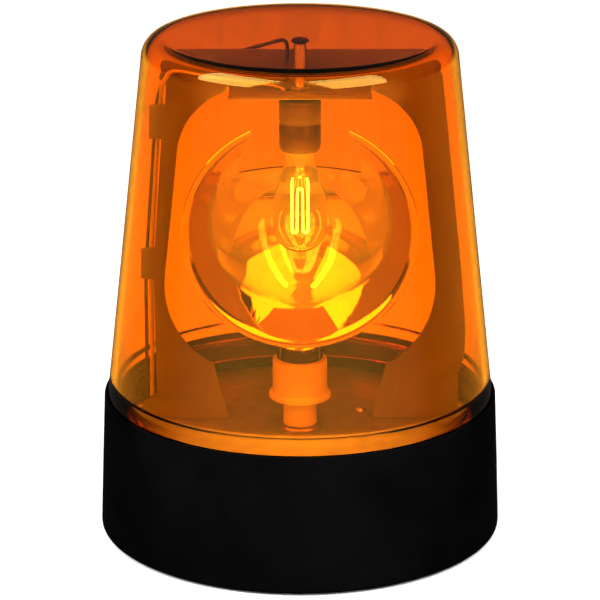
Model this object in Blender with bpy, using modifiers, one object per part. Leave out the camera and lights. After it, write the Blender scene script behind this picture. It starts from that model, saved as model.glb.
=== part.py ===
"""Amber rotating beacon: black drum base, lift-off amber dome, and a turning reflector round a fixed lamp.

Units are metres, +Z is up, and the origin is on the floor at the centre of the base.
The viewer stands on the -Y side. The reflector turns about Z.
"""

import math

import bmesh
import bpy
from mathutils import Euler, Matrix, Vector

# --- Driving dimensions ---------------------------------------------------------------------------
GAP = 0.0003                # clearance between neighbouring pieces

# Base drum
BASE_RADIUS = 0.0750        # outer radius just above the floor
RIM_RADIUS = 0.0732         # outer radius at the top rim
RIM_TOP = 0.0527            # height of the top rim
BASE_BOTTOM = 0.0008        # the feet stand this far proud
BASE_BORE = 0.0712          # inner radius of the drum
LEDGE_RADIUS = 0.0680       # inner radius of the ledge that carries the dome
LEDGE_TOP = 0.0486
LEDGE_THICKNESS = 0.0020

# Dome
DOME_TOP = 0.1888
DOME_RIM_RADIUS = 0.0719    # outer radius where it stands in the rim
DOME_ROOF_RADIUS = 0.0579   # outer radius just under the rounded corner
DOME_CORNER = 0.0078        # radius of that corner
DOME_WALL = 0.0025
BEAD_TOP = 0.0585           # top of the thick bead at the foot of the dome
BEAD_INNER = 0.0674
SKIRT_OUTER = 0.0676
SKIRT_INNER = 0.0652
SKIRT_BOTTOM = 0.0434
LUG_COUNT = 3
LUG_WIDTH = 0.0140
LUG_REACH = 0.0693
NOTCH_WIDTH = 0.0190
NOTCH_REACH = 0.0700
SEAL_THICKNESS = 0.0012

# Deck and bottom cover
DECK_TOP = 0.0378
DECK_THICKNESS = 0.0015
DECK_RADIUS = 0.0705
COVER_BOTTOM = 0.0012
COVER_THICKNESS = 0.0030
COVER_RADIUS = 0.0707
COUNTERBORE_TOP = COVER_BOTTOM + 0.0017
BOSS_RING = 0.0662          # radius of the circle the screw bosses stand on
BOSS_RADIUS = 0.0036
COVER_BOSS_TOP = 0.0160     # the four cover bosses stand up to here
DECK_BOSS_BOTTOM = 0.0240   # the four deck bosses hang down to here
SCREW_HOLE = 0.0016
FOOT_RING = 0.0520
FOOT_RADIUS = 0.0067

# Bracket
PLATE_FRONT = 0.0085        # the plate stands behind the lamp axis
PLATE_THICKNESS = 0.0015
BEAM_BOTTOM = 0.1668        # under side of the beam and of the lamp shelf
BEAM_TOP = 0.1792
SHELF_HALF_WIDTH = 0.0260
SHELF_FRONT = -0.0080
FOOT_FLANGE_DEPTH = 0.0130

# Lamp
HOLDER_RADIUS = 0.0077
HOLDER_BOTTOM = 0.1460
HOLDER_TOP = 0.1656
POST_RADIUS = 0.0023        # the hollow post that clamps the holder to the shelf
POST_BORE = POST_RADIUS + GAP
BULB_TIP = 0.1050
BULB_RADIUS = 0.0102
NECK_RADIUS = 0.0052
LEAD_RADIUS = 0.0009

# Reflector
BOWL_CENTRE = 0.1170        # height of the middle of the bowl
FOCUS = 0.0149              # focal length, so that the filament sits at the focus
MOUTH_RADIUS = 0.0412
FLANGE_RADIUS = 0.0435
BOWL_WALL = 0.0012
OPENING_RADIUS = 0.0225     # opening that clears the lamp holder
OPENING_BOTTOM = 0.1370
HUB_RADIUS = 0.0102
HUB_BOTTOM = 0.0395
HUB_TOP = 0.0655
SPINDLE_RADIUS = 0.0021
SPINDLE_TOP = 0.0617
SPINDLE_BOTTOM = 0.0250

# Gear pair: module, tooth counts and height
MODULE = 0.0008
GEAR_TEETH = 45
PINION_TEETH = 12
GEAR_BOTTOM = 0.0278
GEAR_WIDTH = 0.0040
MOTOR_RADIUS = 0.0140
MOTOR_TOP = 0.0262
MOTOR_BOTTOM = 0.0090
MOTOR_X = MODULE * (GEAR_TEETH + PINION_TEETH) / 2
PILLAR_OFFSET = 0.0180
EAR_THICKNESS = 0.0015

TAU = 2 * math.pi

# Facets round a turned piece, by its size
LARGE = 40
MEDIUM = 24
SMALL = 12
TINY = 8

for old in list(bpy.data.objects):
    bpy.data.objects.remove(old, do_unlink=True)

parts = bpy.data.collections.new("rotating_beacon")
cutters = bpy.data.collections.new("cutters")
bpy.context.scene.collection.children.link(parts)
bpy.context.scene.collection.children.link(cutters)


# --- Materials ------------------------------------------------------------------------------------
def material(name, colour, roughness, metallic=0.0, transmission=0.0, emission=0.0):
    mat = bpy.data.materials.new(name)
    mat.use_nodes = True
    shader = mat.node_tree.nodes["Principled BSDF"]
    shader.inputs["Base Color"].default_value = (*colour, 1.0)
    shader.inputs["Roughness"].default_value = roughness
    shader.inputs["Metallic"].default_value = metallic
    shader.inputs["Transmission Weight"].default_value = transmission
    shader.inputs["Emission Color"].default_value = (*colour, 1.0)
    shader.inputs["Emission Strength"].default_value = emission
    mat.diffuse_color = (*colour, 1.0)
    return mat


BLACK_ABS = material("black_abs", (0.012, 0.012, 0.013), 0.45)
COVER_ABS = material("cover_abs", (0.02, 0.02, 0.021), 0.6)
AMBER = material("amber_acrylic", (0.95, 0.26, 0.01), 0.08, transmission=0.9)
SEAL_RUBBER = material("seal_rubber", (0.03, 0.03, 0.03), 0.8)
FOOT_RUBBER = material("foot_rubber", (0.05, 0.05, 0.05), 0.85)
DECK_STEEL = material("deck_steel", (0.50, 0.50, 0.50), 0.4, 1.0)
BRACKET_STEEL = material("bracket_steel", (0.06, 0.06, 0.06), 0.5, 0.6)
SCREW_STEEL = material("screw_steel", (0.60, 0.60, 0.58), 0.3, 1.0)
HOLDER_PLASTIC = material("holder_plastic", (0.05, 0.045, 0.04), 0.4)
CERAMIC = material("ceramic", (0.85, 0.83, 0.78), 0.4)
GLASS = material("bulb_glass", (1.0, 1.0, 1.0), 0.02, transmission=1.0)
TUNGSTEN = material("tungsten", (1.0, 0.75, 0.35), 0.4, emission=20.0)
NICKEL = material("cap_nickel", (0.72, 0.69, 0.62), 0.25, 1.0)
MIRROR = material("mirror_finish", (0.90, 0.90, 0.91), 0.05, 1.0)
HUB_PLASTIC = material("hub_plastic", (0.75, 0.74, 0.70), 0.4)
GEAR_PLASTIC = material("gear_acetal", (0.88, 0.87, 0.82), 0.4)
BRASS = material("bush_brass", (0.72, 0.53, 0.22), 0.3, 1.0)
MOTOR_STEEL = material("motor_zinc", (0.62, 0.63, 0.64), 0.35, 1.0)
LEAD_LIGHT = material("lead_light", (0.85, 0.82, 0.72), 0.45)
LEAD_DARK = material("lead_dark", (0.05, 0.04, 0.04), 0.45)
TERMINAL = material("terminal_polyamide", (0.80, 0.80, 0.76), 0.5)


# --- Small building blocks ------------------------------------------------------------------------
def place(name, mesh, mat, collection=parts):
    obj = bpy.data.objects.new(name, mesh)
    if mat:
        mesh.materials.append(mat)
    collection.objects.link(obj)
    return obj


def as_cutter(obj):
    """Keep a shape out of the finished part: it only cuts or joins another."""
    for collection in list(obj.users_collection):
        collection.objects.unlink(obj)
    cutters.objects.link(obj)
    obj.hide_render = True
    obj.display_type = "WIRE"
    return obj


def combine(obj, tool, operation):
    """Cut obj with tool (DIFFERENCE) or join tool to it (UNION)."""
    modifier = obj.modifiers.new(operation.lower(), "BOOLEAN")
    modifier.operation = operation
    modifier.solver = "EXACT"
    modifier.object = tool
    return modifier


def smooth(mesh, degrees=35):
    mesh.shade_smooth()
    mesh.set_sharp_from_angle(angle=math.radians(degrees))


def turned(name, profile, mat, steps, closed=False):
    """A turned piece: the profile is (radius, height) pairs down the outer side, top to bottom."""
    mesh = bpy.data.meshes.new(name)
    edges = [(i, i + 1) for i in range(len(profile) - 1)]
    if closed:
        edges.append((len(profile) - 1, 0))
    mesh.from_pydata([(radius, 0.0, height) for radius, height in profile], edges, [])
    obj = place(name, mesh, mat)
    screw = obj.modifiers.new("turn", "SCREW")
    screw.steps = steps
    screw.render_steps = steps
    screw.use_merge_vertices = True
    screw.merge_threshold = 0.00001
    screw.use_smooth_shade = True
    return obj


def arc(centre_radius, centre_height, radius, start, stop, count):
    """Points of a round stretch of a profile, angles in degrees from +X towards +Z."""
    points = []
    for i in range(count + 1):
        angle = math.radians(start + (stop - start) * i / count)
        x, z = radius * math.cos(angle), radius * math.sin(angle)
        points.append((centre_radius + x, centre_height + z))
    return points


def box(name, low, high, mat=None):
    mesh = bpy.data.meshes.new(name)
    bm = bmesh.new()
    bmesh.ops.create_cube(bm, size=1.0)
    size = Vector(high) - Vector(low)
    centre = (Vector(high) + Vector(low)) / 2
    bmesh.ops.transform(bm, matrix=Matrix.Translation(centre) @ Matrix.Diagonal((*size, 1.0)), verts=bm.verts)
    bm.to_mesh(mesh)
    bm.free()
    return place(name, mesh, mat)


def cylinder(name, radius, bottom, top, at=(0.0, 0.0), steps=SMALL, mat=None):
    """An upright cylinder from bottom to top, centred on the (x, y) of at."""
    mesh = bpy.data.meshes.new(name)
    bm = bmesh.new()
    bmesh.ops.create_cone(bm, cap_ends=True, segments=steps, radius1=radius, radius2=radius,
                          depth=top - bottom)
    bmesh.ops.translate(bm, verts=bm.verts, vec=(0.0, 0.0, (top + bottom) / 2))
    bm.to_mesh(mesh)
    bm.free()
    smooth(mesh)
    obj = place(name, mesh, mat)
    obj.location = (at[0], at[1], 0.0)
    return obj


def plate(name, outline, thickness, mat):
    """A flat piece: the outline is drawn in X and Y and given half its thickness each way."""
    curve = bpy.data.curves.new(name, "CURVE")
    curve.dimensions = "2D"
    curve.fill_mode = "BOTH"
    curve.extrude = thickness / 2
    spline = curve.splines.new("POLY")
    spline.points.add(len(outline) - 1)
    for point, (x, y) in zip(spline.points, outline):
        point.co = (x, y, 0.0, 1.0)
    spline.use_cyclic_u = True
    obj = bpy.data.objects.new(name, curve)
    parts.objects.link(obj)
    curve.materials.append(mat)
    return obj


def tube(name, points, radius, mat):
    """A wire of round section along a smooth curve through the points."""
    curve = bpy.data.curves.new(name, "CURVE")
    curve.dimensions = "3D"
    curve.bevel_depth = radius
    curve.bevel_resolution = 2
    curve.use_fill_caps = True
    spline = curve.splines.new("POLY")
    spline.points.add(len(points) - 1)
    for point, position in zip(spline.points, points):
        point.co = (*position, 1.0)
    obj = bpy.data.objects.new(name, curve)
    parts.objects.link(obj)
    curve.materials.append(mat)
    return obj


def through(points, per_span=2):
    """Points of a smooth curve that passes through each of the given points."""
    knots = [Vector(p) for p in points]
    padded = [2 * knots[0] - knots[1]] + knots + [2 * knots[-1] - knots[-2]]
    path = []
    for i in range(1, len(padded) - 2):
        before, start, stop, after = padded[i - 1:i + 3]
        for step in range(per_span):
            t = step / per_span
            path.append(0.5 * (2 * start + (stop - before) * t
                               + (2 * before - 5 * start + 4 * stop - after) * t ** 2
                               + (3 * start - before - 3 * stop + after) * t ** 3))
    return path + [knots[-1]]


def to_mesh(obj):
    """Turn a curve into a mesh with welded caps, so that it can be cut and joined."""
    depsgraph = bpy.context.evaluated_depsgraph_get()
    mesh = bpy.data.meshes.new_from_object(obj.evaluated_get(depsgraph))
    bm = bmesh.new()
    bm.from_mesh(mesh)
    bmesh.ops.remove_doubles(bm, verts=bm.verts, dist=0.00001)
    bm.to_mesh(mesh)
    bm.free()
    name = obj.name
    matrix = obj.matrix_world.copy()
    bpy.data.objects.remove(obj, do_unlink=True)
    solid = place(name, mesh, None)
    solid.matrix_world = matrix
    return solid


def round_about(radius, degrees):
    """The (x, y) of a place on a circle about Z."""
    return radius * math.cos(math.radians(degrees)), radius * math.sin(math.radians(degrees))


def pan_screw(name, at, head_bottom, length, mat=SCREW_STEEL, down=True):
    """A pan head screw. It points down into the deck, or up into the base when down is false."""
    head = [(0.0, 0.0013), (0.0014, 0.0012), (0.0024, 0.0007), (0.0026, 0.0), (0.0012, 0.0)]
    profile = head + [(0.0012, -length), (0.0, -length)]
    obj = turned(name, profile, mat, TINY)
    obj.location = (at[0], at[1], head_bottom)
    if not down:
        obj.rotation_euler = Euler((math.pi, 0.0, 0.0))
    return obj


# --- Base drum ------------------------------------------------------------------------------------
BOSS_ANGLES = (45, 135, 225, 315)       # bottom cover screws
DECK_ANGLES = (20, 160, 200, 340)       # deck screws
FOOT_ANGLES = (0, 90, 180, 270)
LUG_ANGLES = [90 + 360 * i / LUG_COUNT for i in range(LUG_COUNT)]
GROMMET_HEIGHT = 0.0200
COVER_TOP = COVER_BOTTOM + COVER_THICKNESS
DECK_BOTTOM = DECK_TOP - DECK_THICKNESS


def make_base():
    ledge_bottom = LEDGE_TOP - LEDGE_THICKNESS
    seat_radius = DOME_RIM_RADIUS + GAP
    profile = [(seat_radius + 0.0003, RIM_TOP), (RIM_RADIUS - 0.0002, RIM_TOP - 0.0001),
               (RIM_RADIUS, RIM_TOP - 0.0005)]
    profile += [(BASE_RADIUS, BASE_BOTTOM + 0.0030)]
    profile += arc(BASE_RADIUS - 0.0016, BASE_BOTTOM + 0.0016, 0.0016, -20, -90, 3)
    profile += [(BASE_BORE, BASE_BOTTOM), (BASE_BORE, ledge_bottom), (LEDGE_RADIUS, ledge_bottom),
                (LEDGE_RADIUS, LEDGE_TOP), (seat_radius, LEDGE_TOP), (seat_radius, RIM_TOP - 0.0004)]
    base = turned("base_housing", profile, BLACK_ABS, LARGE, closed=True)

    for degrees in BOSS_ANGLES:
        at = round_about(BOSS_RING, degrees)
        boss = cylinder("cover_boss", BOSS_RADIUS, COVER_TOP + GAP, COVER_BOSS_TOP, at)
        combine(base, as_cutter(boss), "UNION")
    for degrees in DECK_ANGLES:
        at = round_about(BOSS_RING, degrees)
        boss = cylinder("deck_boss", BOSS_RADIUS, DECK_BOSS_BOTTOM, DECK_BOTTOM - GAP, at)
        combine(base, as_cutter(boss), "UNION")
    # Each boss leans on the drum through a rib.
    ribs = [(degrees, COVER_TOP + GAP, COVER_BOSS_TOP) for degrees in BOSS_ANGLES]
    ribs += [(degrees, DECK_BOSS_BOTTOM, DECK_BOTTOM - GAP) for degrees in DECK_ANGLES]
    for degrees, low, high in ribs:
        rib = box("boss_rib", (BOSS_RING, -0.0012, low), (BASE_BORE + 0.0010, 0.0012, high))
        rib.rotation_euler = Euler((0.0, 0.0, math.radians(degrees)))
        combine(base, as_cutter(rib), "UNION")
    for degrees in BOSS_ANGLES:
        at = round_about(BOSS_RING, degrees)
        pilot = cylinder("cover_pilot", SCREW_HOLE, COVER_TOP, COVER_BOSS_TOP - 0.0010, at)
        combine(base, as_cutter(pilot), "DIFFERENCE")
    for degrees in DECK_ANGLES:
        at = round_about(BOSS_RING, degrees)
        pilot = cylinder("deck_pilot", SCREW_HOLE, DECK_BOSS_BOTTOM + 0.0030, DECK_BOTTOM, at)
        combine(base, as_cutter(pilot), "DIFFERENCE")

    for degrees in LUG_ANGLES:
        notch = box("lug_notch", (LEDGE_RADIUS - 0.0020, -NOTCH_WIDTH / 2, ledge_bottom - 0.0004),
                    (NOTCH_REACH, NOTCH_WIDTH / 2, LEDGE_TOP + 0.0004))
        notch.rotation_euler = Euler((0.0, 0.0, math.radians(degrees)))
        combine(base, as_cutter(notch), "DIFFERENCE")
        stop = box("lug_stop", (LEDGE_RADIUS + 0.0002, -0.0015, ledge_bottom - 0.0030),
                   (BASE_BORE + 0.0008, 0.0015, ledge_bottom + 0.0008))
        stop.rotation_euler = Euler((0.0, 0.0, math.radians(degrees + 28.5)))
        combine(base, as_cutter(stop), "UNION")

    bore = cylinder("cord_bore", 0.0047, -0.0100, 0.0100, steps=MEDIUM)
    seat = cylinder("cord_seat", 0.0073, 0.0, 0.0100, steps=MEDIUM)
    for tool, distance in ((bore, 0.0720), (seat, BASE_RADIUS - 0.0020)):
        tool.rotation_euler = Euler((-math.pi / 2, 0.0, 0.0))
        tool.location = (0.0, distance, GROMMET_HEIGHT)
        combine(base, as_cutter(tool), "DIFFERENCE")


def make_grommet():
    """Rubber bush in the rear wall where the mains cord would enter."""
    outer = 0.0010
    inner = -0.0030
    profile = [(0.0032, outer), (0.0066, outer), (0.0069, outer - 0.0003), (0.0069, outer - 0.0012),
               (0.0044, outer - 0.0012), (0.0044, inner), (0.0060, inner), (0.0060, inner - 0.0015),
               (0.0032, inner - 0.0015)]
    grommet = turned("cord_grommet", profile, SEAL_RUBBER, MEDIUM, closed=True)
    grommet.rotation_euler = Euler((-math.pi / 2, 0.0, 0.0))
    grommet.location = (0.0, BASE_RADIUS - 0.0014, GROMMET_HEIGHT)


def make_bottom_cover():
    profile = [(0.0, COVER_TOP), (COVER_RADIUS, COVER_TOP), (COVER_RADIUS, COVER_BOTTOM + 0.0006),
               (COVER_RADIUS - 0.0006, COVER_BOTTOM), (0.0, COVER_BOTTOM)]
    cover = turned("bottom_cover", profile, COVER_ABS, LARGE)
    for degrees in BOSS_ANGLES:
        at = round_about(BOSS_RING, degrees)
        combine(cover, as_cutter(cylinder("cover_hole", SCREW_HOLE, 0.0, 0.0060, at)), "DIFFERENCE")
        sink = cylinder("cover_counterbore", 0.0030, 0.0, COUNTERBORE_TOP, at)
        combine(cover, as_cutter(sink), "DIFFERENCE")
    for number, degrees in enumerate(BOSS_ANGLES, 1):
        at = round_about(BOSS_RING, degrees)
        pan_screw(f"cover_screw_{number}", at, COUNTERBORE_TOP - GAP, 0.0105, down=False)
    for number, degrees in enumerate(FOOT_ANGLES, 1):
        at = round_about(FOOT_RING, degrees)
        pocket = cylinder("foot_pocket", FOOT_RADIUS + GAP, 0.0, COVER_BOTTOM + 0.0012, at, MEDIUM)
        combine(cover, as_cutter(pocket), "DIFFERENCE")
        top = COVER_BOTTOM + 0.0012 - GAP
        foot_profile = [(0.0, top), (FOOT_RADIUS, top), (FOOT_RADIUS, 0.0004),
                        (FOOT_RADIUS - 0.0004, 0.0), (0.0, 0.0)]
        foot = turned(f"foot_{number}", foot_profile, FOOT_RUBBER, MEDIUM)
        foot.location = (at[0], at[1], 0.0)


# --- Dome and its seal ----------------------------------------------------------------------------
def make_dome():
    corner_height = DOME_TOP - DOME_CORNER
    corner_inner = DOME_ROOF_RADIUS - DOME_CORNER
    bead_bottom = LEDGE_TOP + SEAL_THICKNESS + 2 * GAP

    def outer_radius(height):
        share = (height - RIM_TOP) / (corner_height - RIM_TOP)
        return DOME_RIM_RADIUS + (DOME_ROOF_RADIUS - DOME_RIM_RADIUS) * share

    outside = [(0.0, DOME_TOP)]
    outside += arc(corner_inner, corner_height, DOME_CORNER, 90, 3, 5)
    outside += [(DOME_RIM_RADIUS, RIM_TOP), (DOME_RIM_RADIUS, bead_bottom), (SKIRT_OUTER, bead_bottom),
                (SKIRT_OUTER, SKIRT_BOTTOM)]
    inside = [(SKIRT_INNER, SKIRT_BOTTOM), (SKIRT_INNER, bead_bottom), (BEAD_INNER, bead_bottom + 0.0012),
              (BEAD_INNER, BEAD_TOP - 0.0010), (outer_radius(BEAD_TOP) - DOME_WALL, BEAD_TOP + 0.0006)]
    inside += arc(corner_inner, corner_height, DOME_CORNER - DOME_WALL, 3, 90, 4)
    inside += [(0.0, DOME_TOP - DOME_WALL)]
    dome = turned("dome", outside + inside, AMBER, LARGE)
    lug_bottom = SKIRT_BOTTOM + 0.0002
    lug_top = LEDGE_TOP - LEDGE_THICKNESS - GAP
    for degrees in LUG_ANGLES:
        lug = box("dome_lug", (SKIRT_INNER + 0.0010, -LUG_WIDTH / 2, lug_bottom),
                  (LUG_REACH, LUG_WIDTH / 2, lug_top))
        lug.rotation_euler = Euler((0.0, 0.0, math.radians(degrees)))
        combine(dome, as_cutter(lug), "UNION")


def make_seal():
    bottom = LEDGE_TOP + GAP
    profile = [(0.0684, bottom + SEAL_THICKNESS), (0.0716, bottom + SEAL_THICKNESS), (0.0716, bottom),
               (0.0684, bottom)]
    turned("dome_seal", profile, SEAL_RUBBER, LARGE, closed=True)


# --- Deck -----------------------------------------------------------------------------------------
BRACKET_SCREW_Y = PLATE_FRONT + PLATE_THICKNESS + 0.0065
BRACKET_SCREWS = [(side * x, BRACKET_SCREW_Y) for side in (-1, 1) for x in (0.0345, 0.0480)]
LEAD_HOLE = (-0.0566, 0.0115)
LEAD_HOLE_RADIUS = 0.0034
DECK_BORE = 0.0063          # clears the body of the bearing bush
PILLARS = [(MOTOR_X, -PILLAR_OFFSET), (MOTOR_X, PILLAR_OFFSET)]


def make_deck():
    profile = [(DECK_BORE, DECK_TOP), (DECK_RADIUS, DECK_TOP), (DECK_RADIUS, DECK_BOTTOM),
               (DECK_BORE, DECK_BOTTOM)]
    deck = turned("deck_plate", profile, DECK_STEEL, LARGE, closed=True)
    holes = [(round_about(BOSS_RING, degrees), SCREW_HOLE) for degrees in DECK_ANGLES]
    holes += [(at, SCREW_HOLE) for at in BRACKET_SCREWS + PILLARS]
    holes += [(LEAD_HOLE, LEAD_HOLE_RADIUS)]
    for at, radius in holes:
        hole = cylinder("deck_hole", radius, DECK_BOTTOM - 0.0010, DECK_TOP + 0.0010, at)
        combine(deck, as_cutter(hole), "DIFFERENCE")
    for number, degrees in enumerate(DECK_ANGLES, 1):
        pan_screw(f"deck_screw_{number}", round_about(BOSS_RING, degrees), DECK_TOP + GAP, 0.0100)


# --- Bracket --------------------------------------------------------------------------------------
def window_side():
    """The window's edge on the +X side, from the shelf down to the foot."""
    shoulder = arc(0.0190, 0.1400, 0.0268, 74, 8, 6)
    side = [(0.0482, 0.1180), (0.0506, 0.0960)]
    flare = arc(0.0166, 0.0900, 0.0343, 4, -62, 6)
    return [(SHELF_HALF_WIDTH, BEAM_BOTTOM)] + shoulder + side + flare + [(0.0270, DECK_TOP + GAP)]


def make_bracket():
    right = [(0.0450, BEAM_TOP), (0.0506, 0.1775), (0.0528, 0.1736), (0.0542, 0.1614), (0.0610, 0.0970),
             (0.0628, 0.0720), (0.0622, 0.0620), (0.0600, 0.0560), (0.0600, DECK_TOP + GAP)]
    # The left leg is cut back to leave room for the leads, with two tabs that hold them.
    left = [(-0.0600, DECK_TOP + GAP), (-0.0600, 0.0440), (-0.0542, 0.0480), (-0.0550, 0.0932),
            (-0.0600, 0.0935), (-0.0600, 0.1052), (-0.0545, 0.1055), (-0.0516, 0.1474),
            (-0.0565, 0.1476), (-0.0565, 0.1604), (-0.0500, 0.1607), (-0.0496, 0.1682),
            (-0.0524, 0.1706), (-0.0512, 0.1772), (-0.0450, BEAM_TOP)]
    inner = window_side()
    mirrored = [(-x, z) for x, z in inner]
    outline = right + list(reversed(inner)) + mirrored + left
    sheet = plate("bracket_plate", outline, PLATE_THICKNESS, BRACKET_STEEL)
    sheet.rotation_euler = Euler((math.pi / 2, 0.0, 0.0))
    sheet.location = (0.0, PLATE_FRONT + PLATE_THICKNESS / 2, 0.0)
    bpy.context.view_layer.update()
    bracket = to_mesh(sheet)

    back = PLATE_FRONT + PLATE_THICKNESS
    shelf = box("lamp_shelf", (-SHELF_HALF_WIDTH, SHELF_FRONT, BEAM_BOTTOM),
                (SHELF_HALF_WIDTH, back - 0.0004, BEAM_BOTTOM + PLATE_THICKNESS))
    combine(bracket, as_cutter(shelf), "UNION")
    for side in (-1, 1):
        ends = sorted((side * 0.0290, side * 0.0530))
        flange = box("foot_flange", (ends[0], back - PLATE_THICKNESS + 0.0004, DECK_TOP + GAP),
                     (ends[1], back + FOOT_FLANGE_DEPTH, DECK_TOP + GAP + PLATE_THICKNESS))
        combine(bracket, as_cutter(flange), "UNION")
    holes = [(at, SCREW_HOLE, DECK_TOP) for at in BRACKET_SCREWS]
    holes += [((0.0, 0.0), POST_BORE, BEAM_BOTTOM), ((-0.0056, 0.0), 0.0024, BEAM_BOTTOM)]
    for at, radius, low in holes:
        hole = cylinder("bracket_hole", radius, low - 0.0010, low + 0.0030, at)
        combine(bracket, as_cutter(hole), "DIFFERENCE")
    for number, at in enumerate(BRACKET_SCREWS, 1):
        pan_screw(f"bracket_screw_{number}", at, DECK_TOP + PLATE_THICKNESS + 2 * GAP, 0.0070)


# --- Lamp holder, post and bulb -------------------------------------------------------------------
SHELF_TOP = BEAM_BOTTOM + PLATE_THICKNESS


def make_holder():
    bore = HOLDER_RADIUS - 0.0012
    shell = [(POST_BORE, HOLDER_TOP), (HOLDER_RADIUS - 0.0014, HOLDER_TOP),
             (HOLDER_RADIUS, HOLDER_TOP - 0.0010), (HOLDER_RADIUS, HOLDER_BOTTOM + 0.0018),
             (HOLDER_RADIUS - 0.0005, HOLDER_BOTTOM), (bore, HOLDER_BOTTOM),
             (bore, HOLDER_TOP - 0.0014), (POST_BORE, HOLDER_TOP - 0.0014)]
    turned("lamp_holder", shell, HOLDER_PLASTIC, MEDIUM, closed=True)

    core_top = HOLDER_TOP - 0.0014 - GAP
    core = [(0.0, core_top), (bore - GAP, core_top), (bore - GAP, core_top - 0.0028),
            (0.0, core_top - 0.0028)]
    turned("holder_core", core, CERAMIC, SMALL)

    nut_bottom = SHELF_TOP + GAP
    nut = cylinder("holder_nut", 0.0036, nut_bottom, nut_bottom + 0.0026, steps=6, mat=SCREW_STEEL)
    bore_tool = cylinder("nut_bore", POST_BORE, nut_bottom - 0.0010, nut_bottom + 0.0040)
    combine(nut, as_cutter(bore_tool), "DIFFERENCE")

    post_top = DOME_TOP - DOME_WALL - 0.0022
    post = [(0.0, post_top), (POST_RADIUS, post_top), (POST_RADIUS, HOLDER_TOP - 0.0012),
            (0.0, HOLDER_TOP - 0.0012)]
    turned("steady_post", post, SCREW_STEEL, SMALL)
    cap_bottom = post_top + GAP
    cap = [(0.0, cap_bottom + 0.0012), (0.0024, cap_bottom + 0.0012), (0.0032, cap_bottom + 0.0006),
           (0.0032, cap_bottom), (0.0, cap_bottom)]
    turned("post_cap", cap, SEAL_RUBBER, SMALL)


def bulb_outline(wall):
    """The bulb's section from its neck down to its tip, drawn in by the wall."""
    waist = BULB_TIP + BULB_RADIUS
    shoulder = 0.1260
    outline = [(NECK_RADIUS - wall, HOLDER_BOTTOM + 0.0006), (NECK_RADIUS + 0.0001 - wall, 0.1440)]
    for i in range(1, 6):
        share = i / 6
        blend = (1 - math.cos(math.pi * share)) / 2
        height = 0.1440 + (shoulder - 0.1440) * share
        outline.append((NECK_RADIUS + (BULB_RADIUS - NECK_RADIUS) * blend - wall, height))
    outline.append((BULB_RADIUS - wall, shoulder))
    outline += arc(0.0, waist + 0.0020, BULB_RADIUS - wall, 0, -78, 6)
    outline.append((0.0, BULB_TIP + 0.0020 + wall))
    return outline


def make_bulb():
    inner = reversed(bulb_outline(0.0005))
    turned("bulb_glass", [*inner, *bulb_outline(0.0)], GLASS, SMALL)

    cap_bottom = HOLDER_BOTTOM + 0.0010
    cap = [(0.0, 0.1608), (0.0016, 0.1608), (0.0024, 0.1596), (0.0046, 0.1588)]
    for turn in range(5):
        top = 0.1580 - turn * 0.0021
        cap += [(0.0056, top), (0.0050, top - 0.0010)]
    cap += [(0.0056, cap_bottom), (0.0, cap_bottom)]
    turned("bulb_cap", cap, NICKEL, SMALL)

    stem = [(0.0, 0.1464), (0.0036, 0.1464), (0.0022, 0.1420), (0.0014, 0.1380), (0.0020, 0.1360),
            (0.0012, 0.1345), (0.0, 0.1345)]
    turned("bulb_stem", stem, GLASS, SMALL)


def make_filament():
    """One run of wire: down a support, through the hanging hairpins and up the other support."""
    turn = 0.0010               # half the distance between neighbouring legs, and the bend radius
    top = 0.1300
    bottom = 0.1150
    legs = 4
    points = [(-0.0026, 0.0, 0.1352), (-3 * turn, 0.0, 0.1332)]
    for leg in range(legs):
        x = (2 * leg - legs + 1) * turn
        down = leg % 2 == 0
        ends = (top, bottom) if down else (bottom, top)
        points += [(x, 0.0, ends[0]), (x, 0.0, ends[1])]
        if leg < legs - 1:
            dip = -turn if down else turn
            points += [(x + 0.3 * turn, 0.0, ends[1] + 0.7 * dip), (x + turn, 0.0, ends[1] + dip),
                       (x + 1.7 * turn, 0.0, ends[1] + 0.7 * dip)]
    points += [(3 * turn, 0.0, 0.1332), (0.0026, 0.0, 0.1352)]
    tube("filament", points, 0.00025, TUNGSTEN)


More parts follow.
